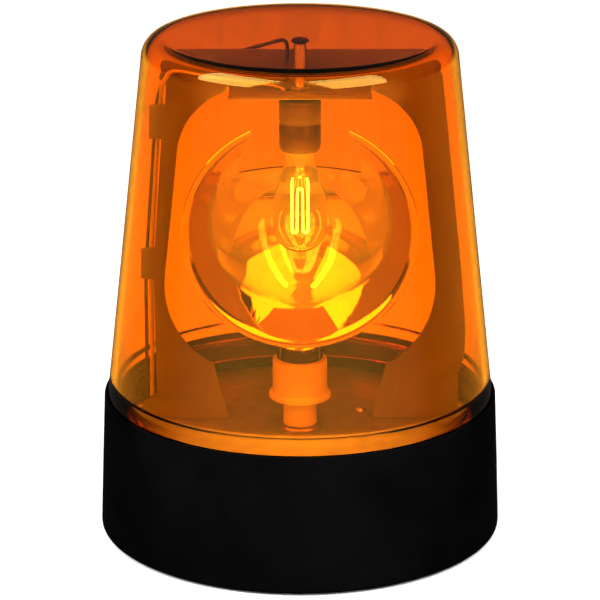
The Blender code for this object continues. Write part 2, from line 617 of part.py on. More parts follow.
# --- Leads ----------------------------------------------------------------------------------------
def make_leads():
    """Both lamp leads leave the terminal block, climb the left leg and cross to the holder."""
    light = [(-0.0420, 0.0195, 0.0300), (-0.0470, 0.0150, 0.0290), (-0.0540, 0.0120, 0.0320),
             (-0.0563, 0.0115, 0.0380), (-0.0563, 0.0116, 0.0480), (-0.0560, 0.0116, 0.0700),
             (-0.0562, 0.0117, 0.0900), (-0.0558, 0.0118, 0.1050), (-0.0546, 0.0118, 0.1250),
             (-0.0532, 0.0118, 0.1480), (-0.0518, 0.0114, 0.1605), (-0.0514, 0.0086, 0.1648),
             (-0.0506, 0.0062, 0.1692), (-0.0480, 0.0058, 0.1728), (-0.0440, 0.0058, 0.1746),
             (-0.0380, 0.0058, 0.1748), (-0.0280, 0.0050, 0.1736), (-0.0180, 0.0036, 0.1722),
             (-0.0100, 0.0016, 0.1712),
             (-0.0066, 0.0006, 0.1692), (-0.0060, 0.0, 0.1664)]
    dark = [(-0.0370, 0.0195, 0.0300), (-0.0420, 0.0130, 0.0270), (-0.0520, 0.0110, 0.0280),
            (-0.0583, 0.0112, 0.0360), (-0.0585, 0.0118, 0.0480), (-0.0582, 0.0124, 0.0700),
            (-0.0584, 0.0132, 0.0900), (-0.0578, 0.0136, 0.1050), (-0.0564, 0.0138, 0.1250),
            (-0.0548, 0.0138, 0.1480), (-0.0538, 0.0130, 0.1600), (-0.0500, 0.0128, 0.1700),
            (-0.0420, 0.0128, 0.1740), (-0.0280, 0.0126, 0.1760), (-0.0140, 0.0122, 0.1800),
            (-0.0060, 0.0100, 0.1824), (-0.0046, 0.0040, 0.1800), (-0.0056, 0.0014, 0.1755)]
    tube("lamp_lead_1", through(light), LEAD_RADIUS, LEAD_LIGHT)
    tube("lamp_lead_2", through(dark), LEAD_RADIUS * 0.8, LEAD_DARK)
    for number, y in enumerate((0.0040, 0.0075), 1):
        run = [(MOTOR_X - MOTOR_RADIUS - 0.0005, y, 0.0125 + 0.0006 * number), (0.0000, y + 0.0010, 0.0110),
               (-0.0140, 0.0140 + y, 0.0120), (-0.0240, 0.0230 + y / 2, 0.0200),
               (-0.0262, 0.0255 + y / 2, 0.0300 - 0.0012 * number)]
        tube(f"motor_lead_{number}", through(run), LEAD_RADIUS * 0.8, LEAD_DARK)


def make_terminal_block():
    """Screw terminals under the deck, where the lamp and motor leads meet the mains cord."""
    block = box("terminal_block", (-0.0450, 0.0208, 0.0250), (-0.0272, 0.0340, DECK_BOTTOM - GAP), TERMINAL)
    for number in range(3):
        x = -0.0421 + 0.0060 * number
        well = cylinder("terminal_well", 0.0017, 0.0240, 0.0275, (x, 0.0274))
        combine(block, as_cutter(well), "DIFFERENCE")


# --- Turning reflector ----------------------------------------------------------------------------
def bowl_depth(radius):
    """How far the mirror surface stands in front of its lowest point at a radius."""
    return radius ** 2 / (4 * FOCUS)


def make_reflector():
    """A parabolic bowl, turned about its own axis, which points at the viewer."""
    rings = 7
    radii = [MOUTH_RADIUS * i / rings for i in range(rings + 1)]
    front = [(radius, bowl_depth(radius) - FOCUS) for radius in radii]
    lip = front[-1][1]
    back = [(r + (0.0006 if r else 0.0), z - BOWL_WALL) for r, z in front]
    outline = [(0.0, front[0][1])] + front[1:]
    outline += [(FLANGE_RADIUS, lip + 0.0002), (FLANGE_RADIUS, lip - BOWL_WALL)]
    outline += list(reversed(back[1:])) + [(0.0, back[0][1])]
    bowl = turned("reflector_bowl", outline, MIRROR, LARGE)
    bowl.location = (0.0, 0.0, BOWL_CENTRE)
    bowl.rotation_euler = Euler((math.pi / 2, 0.0, 0.0))

    # The pedestal under the bowl is cut off flush with the mirror surface.
    pedestal = cylinder("pedestal", 0.0088, HUB_TOP + GAP, 0.1000, steps=MEDIUM)
    hollow_profile = [(0.0, 0.0500), (MOUTH_RADIUS + 0.0100, 0.0500)]
    for i in range(rings, -1, -1):
        radius = (MOUTH_RADIUS + 0.0100) * i / rings
        hollow_profile.append((radius, bowl_depth(radius) - FOCUS - BOWL_WALL / 2))
    hollow = turned("bowl_hollow", hollow_profile, None, LARGE)
    hollow.location = (0.0, 0.0, BOWL_CENTRE)
    hollow.rotation_euler = Euler((math.pi / 2, 0.0, 0.0))
    combine(pedestal, as_cutter(hollow), "DIFFERENCE")
    combine(bowl, as_cutter(pedestal), "UNION")

    opening = cylinder("holder_opening", OPENING_RADIUS, OPENING_BOTTOM, 0.1800, steps=LARGE)
    combine(bowl, as_cutter(opening), "DIFFERENCE")
    for side in (-1, 1):
        pin_hole = cylinder("hub_pin_hole", 0.0014, 0.0600, HUB_TOP + 0.0040, (side * 0.0055, 0.0))
        combine(bowl, as_cutter(pin_hole), "DIFFERENCE")


def make_hub():
    neck = 0.0062
    bore = SPINDLE_RADIUS + GAP
    flange = HUB_RADIUS + 0.0014
    profile = [(0.0, HUB_TOP), (HUB_RADIUS - 0.0008, HUB_TOP), (HUB_RADIUS, HUB_TOP - 0.0008),
               (HUB_RADIUS, 0.0524), (flange, 0.0520), (flange, 0.0502), (neck, 0.0496), (neck, HUB_BOTTOM),
               (bore, HUB_BOTTOM), (bore, SPINDLE_TOP + GAP), (0.0, SPINDLE_TOP + GAP)]
    hub = turned("reflector_hub", profile, HUB_PLASTIC, MEDIUM)
    for side in (-1, 1):
        pin = cylinder("hub_pin", 0.0011, HUB_TOP - 0.0020, HUB_TOP + 0.0030, (side * 0.0055, 0.0))
        combine(hub, as_cutter(pin), "UNION")


def make_spindle():
    turned("spindle", [(0.0, SPINDLE_TOP), (SPINDLE_RADIUS, SPINDLE_TOP), (SPINDLE_RADIUS, SPINDLE_BOTTOM),
                       (0.0, SPINDLE_BOTTOM)], SCREW_STEEL, SMALL)
    bore = SPINDLE_RADIUS + GAP
    flange_top = HUB_BOTTOM - GAP
    bush = [(bore, flange_top), (0.0080, flange_top), (0.0080, DECK_TOP + GAP), (0.0060, DECK_TOP + GAP),
            (0.0060, 0.0352), (bore, 0.0352)]
    turned("bearing_bush", bush, BRASS, MEDIUM, closed=True)
    clip = [(bore, 0.0348), (0.0042, 0.0348), (0.0042, 0.0341), (bore, 0.0341)]
    turned("spindle_clip", clip, SCREW_STEEL, SMALL, closed=True)


# --- Gears and motor ------------------------------------------------------------------------------
def gear_outline(teeth, backlash=0.00012):
    """The outline of a spur gear with involute flanks, one tooth pointing along +X."""
    pressure = math.radians(20)
    pitch = MODULE * teeth / 2
    base = pitch * math.cos(pressure)
    root = pitch - 1.15 * MODULE
    tip = pitch + 0.85 * MODULE

    def involute(angle):
        return math.tan(angle) - angle

    def half_tooth(radius):
        flank = math.acos(base / radius) if radius > base else 0.0
        return (math.pi * MODULE / 2 - backlash) / (2 * pitch) + involute(pressure) - involute(flank)

    flank_radii = [root] + [radius for radius in (base, pitch) if radius > root] + [tip]
    outline = []
    for tooth in range(teeth):
        centre = TAU * tooth / teeth
        for radius in flank_radii:
            outline.append((radius, centre - half_tooth(max(radius, base))))
        for radius in reversed(flank_radii):
            outline.append((radius, centre + half_tooth(max(radius, base))))
    return [(radius * math.cos(angle), radius * math.sin(angle)) for radius, angle in outline]


def make_gear(name, teeth, bore, at, turn, mat):
    blank = plate(name, gear_outline(teeth), GEAR_WIDTH, mat)
    blank.location = (at[0], at[1], GEAR_BOTTOM + GEAR_WIDTH / 2)
    blank.rotation_euler = Euler((0.0, 0.0, turn))
    bpy.context.view_layer.update()
    gear = to_mesh(blank)
    shaft_hole = cylinder(f"{name}_bore", bore, GEAR_BOTTOM - 0.0010, GEAR_BOTTOM + GEAR_WIDTH + 0.0010, at)
    combine(gear, as_cutter(shaft_hole), "DIFFERENCE")
    return gear


def make_motor():
    shaft_radius = 0.0015
    shaft_bore = shaft_radius + GAP
    floor = 0.0190
    ear_top = MOTOR_TOP - 0.0030
    can = [(0.0, floor), (shaft_bore, floor), (shaft_bore, MOTOR_TOP), (MOTOR_RADIUS - 0.0010, MOTOR_TOP),
           (MOTOR_RADIUS, MOTOR_TOP - 0.0010), (MOTOR_RADIUS, MOTOR_BOTTOM + 0.0010),
           (MOTOR_RADIUS - 0.0010, MOTOR_BOTTOM), (0.0, MOTOR_BOTTOM)]
    motor = turned("motor_can", can, MOTOR_STEEL, MEDIUM)
    motor.location = (MOTOR_X, 0.0, 0.0)
    ears = box("motor_ears", (MOTOR_X - 0.0045, -PILLAR_OFFSET - 0.0040, ear_top - EAR_THICKNESS),
               (MOTOR_X + 0.0045, PILLAR_OFFSET + 0.0040, ear_top))
    ear_bore = cylinder("ear_bore", shaft_bore + 0.0010, floor, MOTOR_TOP + 0.0010, (MOTOR_X, 0.0))
    combine(ears, as_cutter(ear_bore), "DIFFERENCE")
    combine(motor, as_cutter(ears), "UNION")
    for number, at in enumerate(PILLARS, 1):
        hole = cylinder("ear_hole", SCREW_HOLE, ear_top - 0.0040, ear_top + 0.0010, at)
        combine(motor, as_cutter(hole), "DIFFERENCE")
        pillar = [(SCREW_HOLE, DECK_BOTTOM - GAP), (0.0032, DECK_BOTTOM - GAP), (0.0032, ear_top + GAP),
                  (SCREW_HOLE, ear_top + GAP)]
        turned(f"motor_pillar_{number}", pillar, SCREW_STEEL, TINY, closed=True).location = (*at, 0.0)
        pan_screw(f"motor_screw_{number}", at, DECK_TOP + GAP, 0.0200)
    shaft_top = GEAR_BOTTOM + GEAR_WIDTH + 0.0010
    shaft = [(0.0, shaft_top), (shaft_radius, shaft_top), (shaft_radius, floor + GAP), (0.0, floor + GAP)]
    turned("motor_shaft", shaft, SCREW_STEEL, SMALL).location = (MOTOR_X, 0.0, 0.0)
    # The big gear has a tooth on +X, so the pinion turns half a tooth to offer a gap.
    make_gear("drive_gear", GEAR_TEETH, SPINDLE_RADIUS + GAP, (0.0, 0.0), 0.0, GEAR_PLASTIC)
    make_gear("motor_pinion", PINION_TEETH, shaft_bore, (MOTOR_X, 0.0), math.pi / PINION_TEETH, BRASS)


make_base()
make_grommet()
make_bottom_cover()
make_dome()
make_seal()
make_deck()
make_bracket()
make_holder()
make_bulb()
make_filament()
make_leads()
make_terminal_block()
make_reflector()
make_hub()
make_spindle()
make_motor()
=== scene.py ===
"""Amber rotating beacon: the finished surfaces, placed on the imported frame.

The base drum comes first with its cover and deck, then the seal and dome, the bracket with the lamp
and its leads, the gear motor, and the turning reflector.
"""
import math

import bpy
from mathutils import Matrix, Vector


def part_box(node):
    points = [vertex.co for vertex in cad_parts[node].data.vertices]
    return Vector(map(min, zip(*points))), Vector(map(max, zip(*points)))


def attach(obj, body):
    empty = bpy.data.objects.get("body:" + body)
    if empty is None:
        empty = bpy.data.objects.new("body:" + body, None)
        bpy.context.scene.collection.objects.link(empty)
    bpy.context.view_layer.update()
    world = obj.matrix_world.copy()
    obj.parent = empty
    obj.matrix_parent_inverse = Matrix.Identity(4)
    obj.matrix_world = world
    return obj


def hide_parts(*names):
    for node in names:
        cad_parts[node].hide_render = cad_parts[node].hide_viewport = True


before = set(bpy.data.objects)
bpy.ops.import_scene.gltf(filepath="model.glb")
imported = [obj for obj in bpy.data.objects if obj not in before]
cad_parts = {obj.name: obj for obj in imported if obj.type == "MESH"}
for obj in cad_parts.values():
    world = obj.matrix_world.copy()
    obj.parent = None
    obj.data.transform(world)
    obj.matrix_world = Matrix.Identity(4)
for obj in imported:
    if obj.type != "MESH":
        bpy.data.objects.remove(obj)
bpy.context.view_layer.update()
scene = bpy.context.scene


# --- Camera --------------------------------------------------------------------------------------
# A long lens from the front, a little above the dome, so the base shows its front edge and the roof
# of the dome shows as a thin ellipse.
CAMERA_DISTANCE = 1.1898
CAMERA_HEIGHT = 0.4765
CAMERA_PITCH = 18.098
camera_data = bpy.data.cameras.new("camera")
camera_data.lens = 201.9
camera_data.sensor_width = 36.0
camera = bpy.data.objects.new("camera", camera_data)
scene.collection.objects.link(camera)
camera.location = (0.0, -CAMERA_DISTANCE, CAMERA_HEIGHT)
camera.rotation_euler = (math.radians(90.0 - CAMERA_PITCH), 0.0, 0.0)
scene.camera = camera
scene.view_settings.view_transform = "Standard"


# --- Floor ---------------------------------------------------------------------------------------
# A seamless sheet of pale studio card, wide enough to be all that is seen behind the beacon. It is
# left out of reflections, so the sides of the dome stay clear amber and the drum stays black.
def shade(code):
    """An sRGB hex colour such as #FF8000 as linear RGBA."""
    channels = [int(code[i:i + 2], 16) / 255 for i in (1, 3, 5)]
    linear = [c / 12.92 if c <= 0.04045 else ((c + 0.055) / 1.055) ** 2.4 for c in channels]
    return (*linear, 1.0)


def add(mat, kind, settings=None, **links):
    """Adds a node of a kind, sets its sockets and properties, and links its inputs by name.

    A link comes from a socket, or from a node, which then gives its first output.
    """
    tree = mat.node_tree
    node = tree.nodes.new("ShaderNode" + kind)
    for key, value in (settings or {}).items():
        if key in node.inputs:
            node.inputs[key].default_value = value
        else:
            setattr(node, key, value)
    for key, source in links.items():
        socket = source.outputs[0] if hasattr(source, "outputs") else source
        tree.links.new(socket, node.inputs[key.replace("_", " ")])
    return node


def blank(name):
    """A new material with nothing in it but where each point lies on its piece."""
    mat = bpy.data.materials.new(name)
    mat.use_nodes = True
    mat.node_tree.nodes.clear()
    return mat, add(mat, "TexCoord").outputs["Object"]


def finish_material(mat, shader):
    add(mat, "OutputMaterial", Surface=shader)
    return mat


def pale_card():
    mat, place = blank("pale_card")
    fibre = add(mat, "TexNoise", {"Scale": 900.0, "Detail": 3.0}, Vector=place)
    bump = add(mat, "Bump", {"Strength": 0.04, "Distance": 0.0002}, Height=fibre)
    card = add(mat, "BsdfPrincipled", {"Base Color": shade("#DCDCDB"), "Roughness": 0.85}, Normal=bump)
    return finish_material(mat, card)


bpy.ops.mesh.primitive_plane_add(size=12.0, location=(0.0, 2.0, 0.0))
bpy.ops.object.transform_apply(location=True, rotation=True, scale=True)
floor = bpy.context.object
floor.name = "studio_floor"
floor.data.materials.append(pale_card())
floor.visible_glossy = False


# --- Lights --------------------------------------------------------------------------------------
# Two large softboxes in front, left and right, show as a pair of pale patches on the shoulder of the
# dome and again in the bowl. A very soft light overhead fills the floor, a small warm one stands in
# for the lamp's light on the deck, and the room is pale in front and dark behind.
def softbox(name, azimuth, elevation, distance, width, height, power):
    light = bpy.data.lights.new(name, "AREA")
    light.shape = "RECTANGLE"
    light.size = width
    light.size_y = height
    light.energy = power
    lamp = bpy.data.objects.new(name, light)
    scene.collection.objects.link(lamp)
    turn, tilt = math.radians(azimuth), math.radians(elevation)
    aim = Vector((0.0, 0.0, 0.15))
    away = Vector((math.sin(turn) * math.cos(tilt), -math.cos(turn) * math.cos(tilt), math.sin(tilt)))
    lamp.location = aim + away * distance
    lamp.rotation_euler = away.to_track_quat("Z", "Y").to_euler()
    return lamp


softbox("softbox_left", -58.0, 42.0, 1.30, 1.00, 1.10, 37.0)
softbox("softbox_right", 44.0, 42.0, 1.30, 1.00, 1.10, 34.0)

sky_data = bpy.data.lights.new("overhead", "SUN")
sky_data.energy = 1.8
sky_data.angle = 1.4
overhead = bpy.data.objects.new("overhead", sky_data)
overhead.rotation_euler = (0.35, 0.0, 0.0)
scene.collection.objects.link(overhead)

glow_data = bpy.data.lights.new("lamp_glow", "POINT")
glow_data.energy = 1.2
glow_data.shadow_soft_size = 0.008
glow_data.color = shade("#FFDAAE")[:3]
lamp_glow = bpy.data.objects.new("lamp_glow", glow_data)
lamp_glow.location = (0.0, -0.014, 0.105)
scene.collection.objects.link(lamp_glow)
for lamp in (overhead, lamp_glow):
    lamp.visible_camera = False
    lamp.visible_glossy = False
lamp_glow.visible_transmission = False

world = bpy.data.worlds.new("studio_room")
scene.world = world
world.use_nodes = True
room = world.node_tree.nodes["Background"]
room.inputs["Color"].default_value = shade("#FDFDFF")
direction = add(world, "TexCoord")
side = add(world, "SeparateXYZ", Vector=direction.outputs["Generated"])
paleness = add(world, "MapRange",
               {"From Min": -0.1, "From Max": -0.85, "To Min": 0.04, "To Max": 1.15},
               Value=side.outputs["Y"])
world.node_tree.links.new(paleness.outputs["Result"], room.inputs["Strength"])


# --- Base drum -----------------------------------------------------------------------------------
# A one-piece moulding in black ABS, open below, with a ledge inside its thin rim for the dome and
# bosses for the deck and cover screws. Its skin is finely spark-eroded: satin, with soft highlights.
def deselect():
    bpy.ops.object.select_all(action="DESELECT")


def pick(obj):
    """Selects one piece alone, for the operators that follow."""
    deselect()
    obj.select_set(True)
    bpy.context.view_layer.objects.active = obj


def settle(obj):
    """Fixes a piece's place and turn in its mesh."""
    pick(obj)
    bpy.ops.object.transform_apply(location=True, rotation=True, scale=True)


def extrude_by(x, y, z):
    """Extrudes what is selected and moves its new end."""
    bpy.ops.mesh.extrude_region_move(TRANSFORM_OT_translate={"value": (x, y, z)})


def round_blank(name, radius, height, facets):
    deselect()
    bpy.ops.mesh.primitive_circle_add(vertices=facets, radius=radius, location=(0.0, 0.0, height))
    obj = bpy.context.object
    obj.name = name
    obj.data.name = name
    settle(obj)
    return obj


def turned(name, outline, facets, closed=False):
    """Turns an outline of (radius, height) pairs, by drawing a ring out from point to point."""
    start_on_axis = outline[0][0] == 0.0
    end_on_axis = outline[-1][0] == 0.0
    rings = outline[1 if start_on_axis else 0:-1 if end_on_axis else None]
    radius, height = rings[0]
    obj = round_blank(name, radius, height, facets)
    bpy.ops.object.mode_set(mode="EDIT")
    bpy.ops.mesh.select_all(action="SELECT")
    if start_on_axis:
        extrude_by(0.0, 0.0, outline[0][1] - height)
        bpy.ops.mesh.merge(type="CENTER")
        bpy.ops.mesh.select_all(action="DESELECT")
        bpy.ops.mesh.select_non_manifold()
    for next_radius, next_height in rings[1:]:
        extrude_by(0.0, 0.0, next_height - height)
        scale = next_radius / radius
        bpy.ops.transform.resize(value=(scale, scale, 1.0), center_override=(0.0, 0.0, next_height))
        radius, height = next_radius, next_height
    if end_on_axis:
        extrude_by(0.0, 0.0, outline[-1][1] - height)
        bpy.ops.mesh.merge(type="CENTER")
    if closed:
        bpy.ops.mesh.select_all(action="DESELECT")
        bpy.ops.mesh.select_non_manifold()
        bpy.ops.mesh.bridge_edge_loops()
    bpy.ops.mesh.select_all(action="SELECT")
    bpy.ops.mesh.normals_make_consistent(inside=False)
    bpy.ops.object.mode_set(mode="OBJECT")
    return obj


def apply_all(obj):
    pick(obj)
    for modifier in list(obj.modifiers):
        bpy.ops.object.modifier_apply(modifier=modifier.name)


def soften(obj, width, segments=2, angle=30.0):
    """Breaks the sharp edges of a piece with a small round."""
    bevel = obj.modifiers.new("round", "BEVEL")
    bevel.width = width
    bevel.segments = segments
    bevel.limit_method = "ANGLE"
    bevel.angle_limit = math.radians(angle)
    apply_all(obj)


def smooth(obj, degrees=30.0):
    pick(obj)
    bpy.ops.object.shade_smooth_by_angle(angle=math.radians(degrees))


def cut(obj, tool, operation="DIFFERENCE"):
    """Cuts a piece with a tool shape, or joins the tool to it, and puts the tool away."""
    boolean = obj.modifiers.new("cut", "BOOLEAN")
    boolean.operation = operation
    boolean.solver = "EXACT"
    boolean.object = tool
    apply_all(obj)
    bpy.data.objects.remove(tool, do_unlink=True)


def block(low, high, turn=0.0):
    """A cutting block between two corners, turned about the upright axis."""
    deselect()
    centre = [(a + b) / 2 for a, b in zip(low, high)]
    bpy.ops.mesh.primitive_cube_add(size=1.0, location=centre, scale=[b - a for a, b in zip(low, high)])
    obj = bpy.context.object
    settle(obj)
    obj.rotation_euler = (0.0, 0.0, math.radians(turn))
    settle(obj)
    return obj


def bar(radius, start, end, facets=32):
    """A round bar from one point to another."""
    deselect()
    start, end = Vector(start), Vector(end)
    along = end - start
    bpy.ops.mesh.primitive_cylinder_add(vertices=facets, radius=radius, depth=along.length,
                                        location=(start + end) / 2,
                                        rotation=along.to_track_quat("Z", "Y").to_euler())
    settle(bpy.context.object)
    return bpy.context.object


def arc(radius_at, height_at, radius, start, stop, count):
    """Points of a round stretch of an outline, angles in degrees from outward towards up."""
    points = []
    for i in range(count + 1):
        angle = math.radians(start + (stop - start) * i / count)
        points.append((radius_at + radius * math.cos(angle), height_at + radius * math.sin(angle)))
    return points


def on_circle(radius, degrees):
    return radius * math.cos(math.radians(degrees)), radius * math.sin(math.radians(degrees))


def give(obj, mat, *nodes, body="base", slot=None):
    """Dresses a piece, sets it on its body and lets it stand for the named nodes."""
    obj.data.materials.clear()
    obj.data.materials.append(mat)
    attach(obj, body)
    if nodes:
        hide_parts(*nodes)
    return obj


def black_abs():
    """Spark-eroded black ABS: a grain of about 0.4 mm and a faint sheen, rubbed smoother in places."""
    mat, place = blank("drum_abs")
    grain = add(mat, "TexNoise", {"Scale": 2400.0, "Detail": 4.0, "Roughness": 0.6}, Vector=place)
    rubbed = add(mat, "TexNoise", {"Scale": 34.0, "Detail": 5.0}, Vector=place)
    tone = add(mat, "ValToRGB", Fac=rubbed)
    tone.color_ramp.elements[0].position = 0.35
    tone.color_ramp.elements[0].color = shade("#010101")
    tone.color_ramp.elements[1].position = 0.70
    tone.color_ramp.elements[1].color = shade("#030303")
    gloss = add(mat, "MapRange", {"From Min": 0.3, "From Max": 0.7, "To Min": 0.46, "To Max": 0.58},
                Value=rubbed)
    bump = add(mat, "Bump", {"Strength": 0.25, "Distance": 0.00006}, Height=grain)
    abs_shader = add(mat, "BsdfPrincipled", {"IOR": 1.50, "Specular IOR Level": 0.02},
                     Base_Color=tone, Roughness=gloss, Normal=bump)
    return finish_material(mat, abs_shader)


base_low, base_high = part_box("base_housing")
dome_low, dome_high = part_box("dome")
seal_low, seal_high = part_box("dome_seal")
deck_low, deck_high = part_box("deck_plate")
BASE_RADIUS = base_high[0]
RIM_TOP = base_high[2]
RIM_RADIUS = BASE_RADIUS - 0.0018
DOME_RADIUS = dome_high[0]
SEAT_RADIUS = DOME_RADIUS + 0.0003
BORE_RADIUS = 0.0712
LEDGE_RADIUS = 0.0680
LEDGE_TOP = seal_low[2] - 0.0003
LEDGE_BOTTOM = LEDGE_TOP - 0.0020
base_foot = base_low[2]

drum_outline = [(SEAT_RADIUS + 0.0003, RIM_TOP), (RIM_RADIUS - 0.0004, RIM_TOP)]
drum_outline += [(RIM_RADIUS - 0.0001, RIM_TOP - 0.0001), (RIM_RADIUS, RIM_TOP - 0.0005)]
drum_outline += [(BASE_RADIUS - 0.0008, 0.0260), (BASE_RADIUS, base_foot + 0.0030)]
drum_outline += arc(BASE_RADIUS - 0.0016, base_foot + 0.0016, 0.0016, 0, -90, 6)
drum_outline += [(BORE_RADIUS + 0.0006, base_foot), (BORE_RADIUS, base_foot + 0.0006),
                 (BORE_RADIUS, LEDGE_BOTTOM), (LEDGE_RADIUS, LEDGE_BOTTOM), (LEDGE_RADIUS, LEDGE_TOP),
                 (SEAT_RADIUS, LEDGE_TOP), (SEAT_RADIUS, RIM_TOP - 0.0003)]
drum = turned("base_drum", drum_outline, 192, closed=True)
for i in range(3):
    notch = block((LEDGE_RADIUS - 0.0020, -0.0095, LEDGE_BOTTOM - 0.0004),
                  (0.0700, 0.0095, LEDGE_TOP + 0.0004), 90 + 120 * i)
    cut(drum, notch)
    stop = block((LEDGE_RADIUS + 0.0002, -0.0015, LEDGE_BOTTOM - 0.0030),
                 (BORE_RADIUS + 0.0008, 0.0015, LEDGE_BOTTOM + 0.0008), 118.5 + 120 * i)
    cut(drum, stop, "UNION")
GROMMET_HEIGHT = 0.0200
cut(drum, bar(0.0047, (0.0, 0.0600, GROMMET_HEIGHT), (0.0, 0.0800, GROMMET_HEIGHT), 48))
cut(drum, bar(0.0073, (0.0, BASE_RADIUS - 0.0020, GROMMET_HEIGHT), (0.0, 0.0800, GROMMET_HEIGHT), 48))
BOSS_RING = 0.0662
BOSS_RADIUS = 0.0036
BOSS_RIB = 0.0012
SCREW_HOLE = 0.0016
COVER_SCREWS = (45, 135, 225, 315)
DECK_SCREWS = (20, 160, 200, 340)
boss_top = deck_low[2] - 0.0003
for angles, foot, top, hole_foot, hole_top in ((COVER_SCREWS, 0.0045, 0.0160, 0.0030, 0.0150),
                                               (DECK_SCREWS, 0.0240, boss_top, 0.0270,
                                                boss_top + 0.0010)):
    for degrees in angles:
        x, y = on_circle(BOSS_RING, degrees)
        cut(drum, bar(BOSS_RADIUS, (x, y, foot), (x, y, top)), "UNION")
        rib = block((BOSS_RING, -BOSS_RIB, foot), (BORE_RADIUS + 0.0010, BOSS_RIB, top), degrees)
        cut(drum, rib, "UNION")
        cut(drum, bar(SCREW_HOLE, (x, y, hole_foot), (x, y, hole_top)))
smooth(drum, 25.0)
ABS = black_abs()
give(drum, ABS, "base_housing", slot="black_abs")


# --- Bottom cover, its screws and the feet -------------------------------------------------------
# A black ABS disc held by four zinc-plated pan head screws in counterbores, with four rubber pads.
def cover_abs():
    """The same ABS from a rougher tool: matt, with fine concentric tool marks about 0.6 mm apart."""
    mat, place = blank("cover_disc_abs")
    rings = add(mat, "TexWave", {"wave_type": "RINGS", "rings_direction": "Z", "Scale": 260.0,
                                 "Distortion": 0.3, "Detail": 1.0}, Vector=place)
    grain = add(mat, "TexNoise", {"Scale": 1800.0, "Detail": 3.0}, Vector=place)
    mix = add(mat, "Math", {"operation": "MULTIPLY_ADD"})
    mat.node_tree.links.new(grain.outputs["Fac"], mix.inputs[0])
    mix.inputs[1].default_value = 1.5
    mat.node_tree.links.new(rings.outputs["Fac"], mix.inputs[2])
    bump = add(mat, "Bump", {"Strength": 0.2, "Distance": 0.00004}, Height=mix)
    shader = add(mat, "BsdfPrincipled", {"Base Color": shade("#0B0B0C"), "Roughness": 0.62},
                 Normal=bump)
    return finish_material(mat, shader)


def zinc_plate(name, code, roughness):
    """Bright zinc plating: a faint cloudy passivation, so the gloss wanders over a few millimetres."""
    mat, place = blank(name)
    cloud = add(mat, "TexNoise", {"Scale": 220.0, "Detail": 4.0}, Vector=place)
    gloss = add(mat, "MapRange", {"To Min": roughness - 0.07, "To Max": roughness + 0.10}, Value=cloud)
    scratch = add(mat, "TexNoise", {"Scale": 3000.0, "Detail": 2.0}, Vector=place)
    bump = add(mat, "Bump", {"Strength": 0.06, "Distance": 0.00003}, Height=scratch)
    shader = add(mat, "BsdfPrincipled", {"Base Color": shade(code), "Metallic": 1.0},
                 Roughness=gloss, Normal=bump)
    return finish_material(mat, shader)


def middle(low, high):
    """The middle of a box, seen from above."""
    return (low[0] + high[0]) / 2, (low[1] + high[1]) / 2


def shift(obj, offset):
    obj.location = offset
    settle(obj)


def rubber(name, code):
    """Moulded rubber: matt, with a talc-like bloom and a slight unevenness of about a millimetre."""
    mat, place = blank(name)
    bloom = add(mat, "TexNoise", {"Scale": 700.0, "Detail": 5.0}, Vector=place)
    tone = add(mat, "ValToRGB", Fac=bloom)
    tone.color_ramp.elements[0].color = shade(code)
    tone.color_ramp.elements[1].color = shade("#2A2928")
    bump = add(mat, "Bump", {"Strength": 0.3, "Distance": 0.00005}, Height=bloom)
    shader = add(mat, "BsdfPrincipled", {"Roughness": 0.82}, Base_Color=tone, Normal=bump)
    return finish_material(mat, shader)


ZINC = zinc_plate("screw_zinc", "#C9CACB", 0.28)
FOOT_RUBBER = rubber("pad_rubber", "#131312")
cover_low, cover_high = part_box("bottom_cover")
cover_radius = cover_high[0]
cover = turned("cover_disc", [(0.0, cover_high[2]), (cover_radius, cover_high[2]),
                              (cover_radius, cover_low[2] + 0.0006),
                              (cover_radius - 0.0006, cover_low[2]), (0.0, cover_low[2])], 128)
for degrees in COVER_SCREWS:
    x, y = on_circle(BOSS_RING, degrees)
    cut(cover, bar(SCREW_HOLE, (x, y, -0.0010), (x, y, 0.0060)))
    cut(cover, bar(0.0030, (x, y, -0.0010), (x, y, cover_low[2] + 0.0017)))
foot_boxes = [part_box(f"foot_{i}") for i in (1, 2, 3, 4)]
for low, high in foot_boxes:
    x, y = middle(low, high)
    cut(cover, bar((high[0] - low[0]) / 2 + 0.0003, (x, y, -0.0010), (x, y, high[2] + 0.0003), 48))
smooth(cover)
give(cover, cover_abs(), "bottom_cover", slot="cover_abs")

for number, (low, high) in enumerate(foot_boxes, 1):
    x, y = middle(low, high)
    pad_radius = (high[0] - low[0]) / 2
    pad = turned(f"foot_pad_{number}", [(0.0, high[2]), (pad_radius, high[2]), (pad_radius, 0.0006),
                                        (pad_radius - 0.0002, 0.0002), (pad_radius - 0.0006, 0.0),
                                        (pad_radius - 0.0016, 0.0), (pad_radius - 0.0020, 0.0004),
                                        (pad_radius - 0.0024, 0.0), (0.0, 0.0)], 48)
    shift(pad, (x, y, 0.0))
    smooth(pad, 40.0)
    give(pad, FOOT_RUBBER, f"foot_{number}", slot="foot_rubber")


HEAD_HEIGHT = 0.0013
THREAD_PITCH = 0.0007


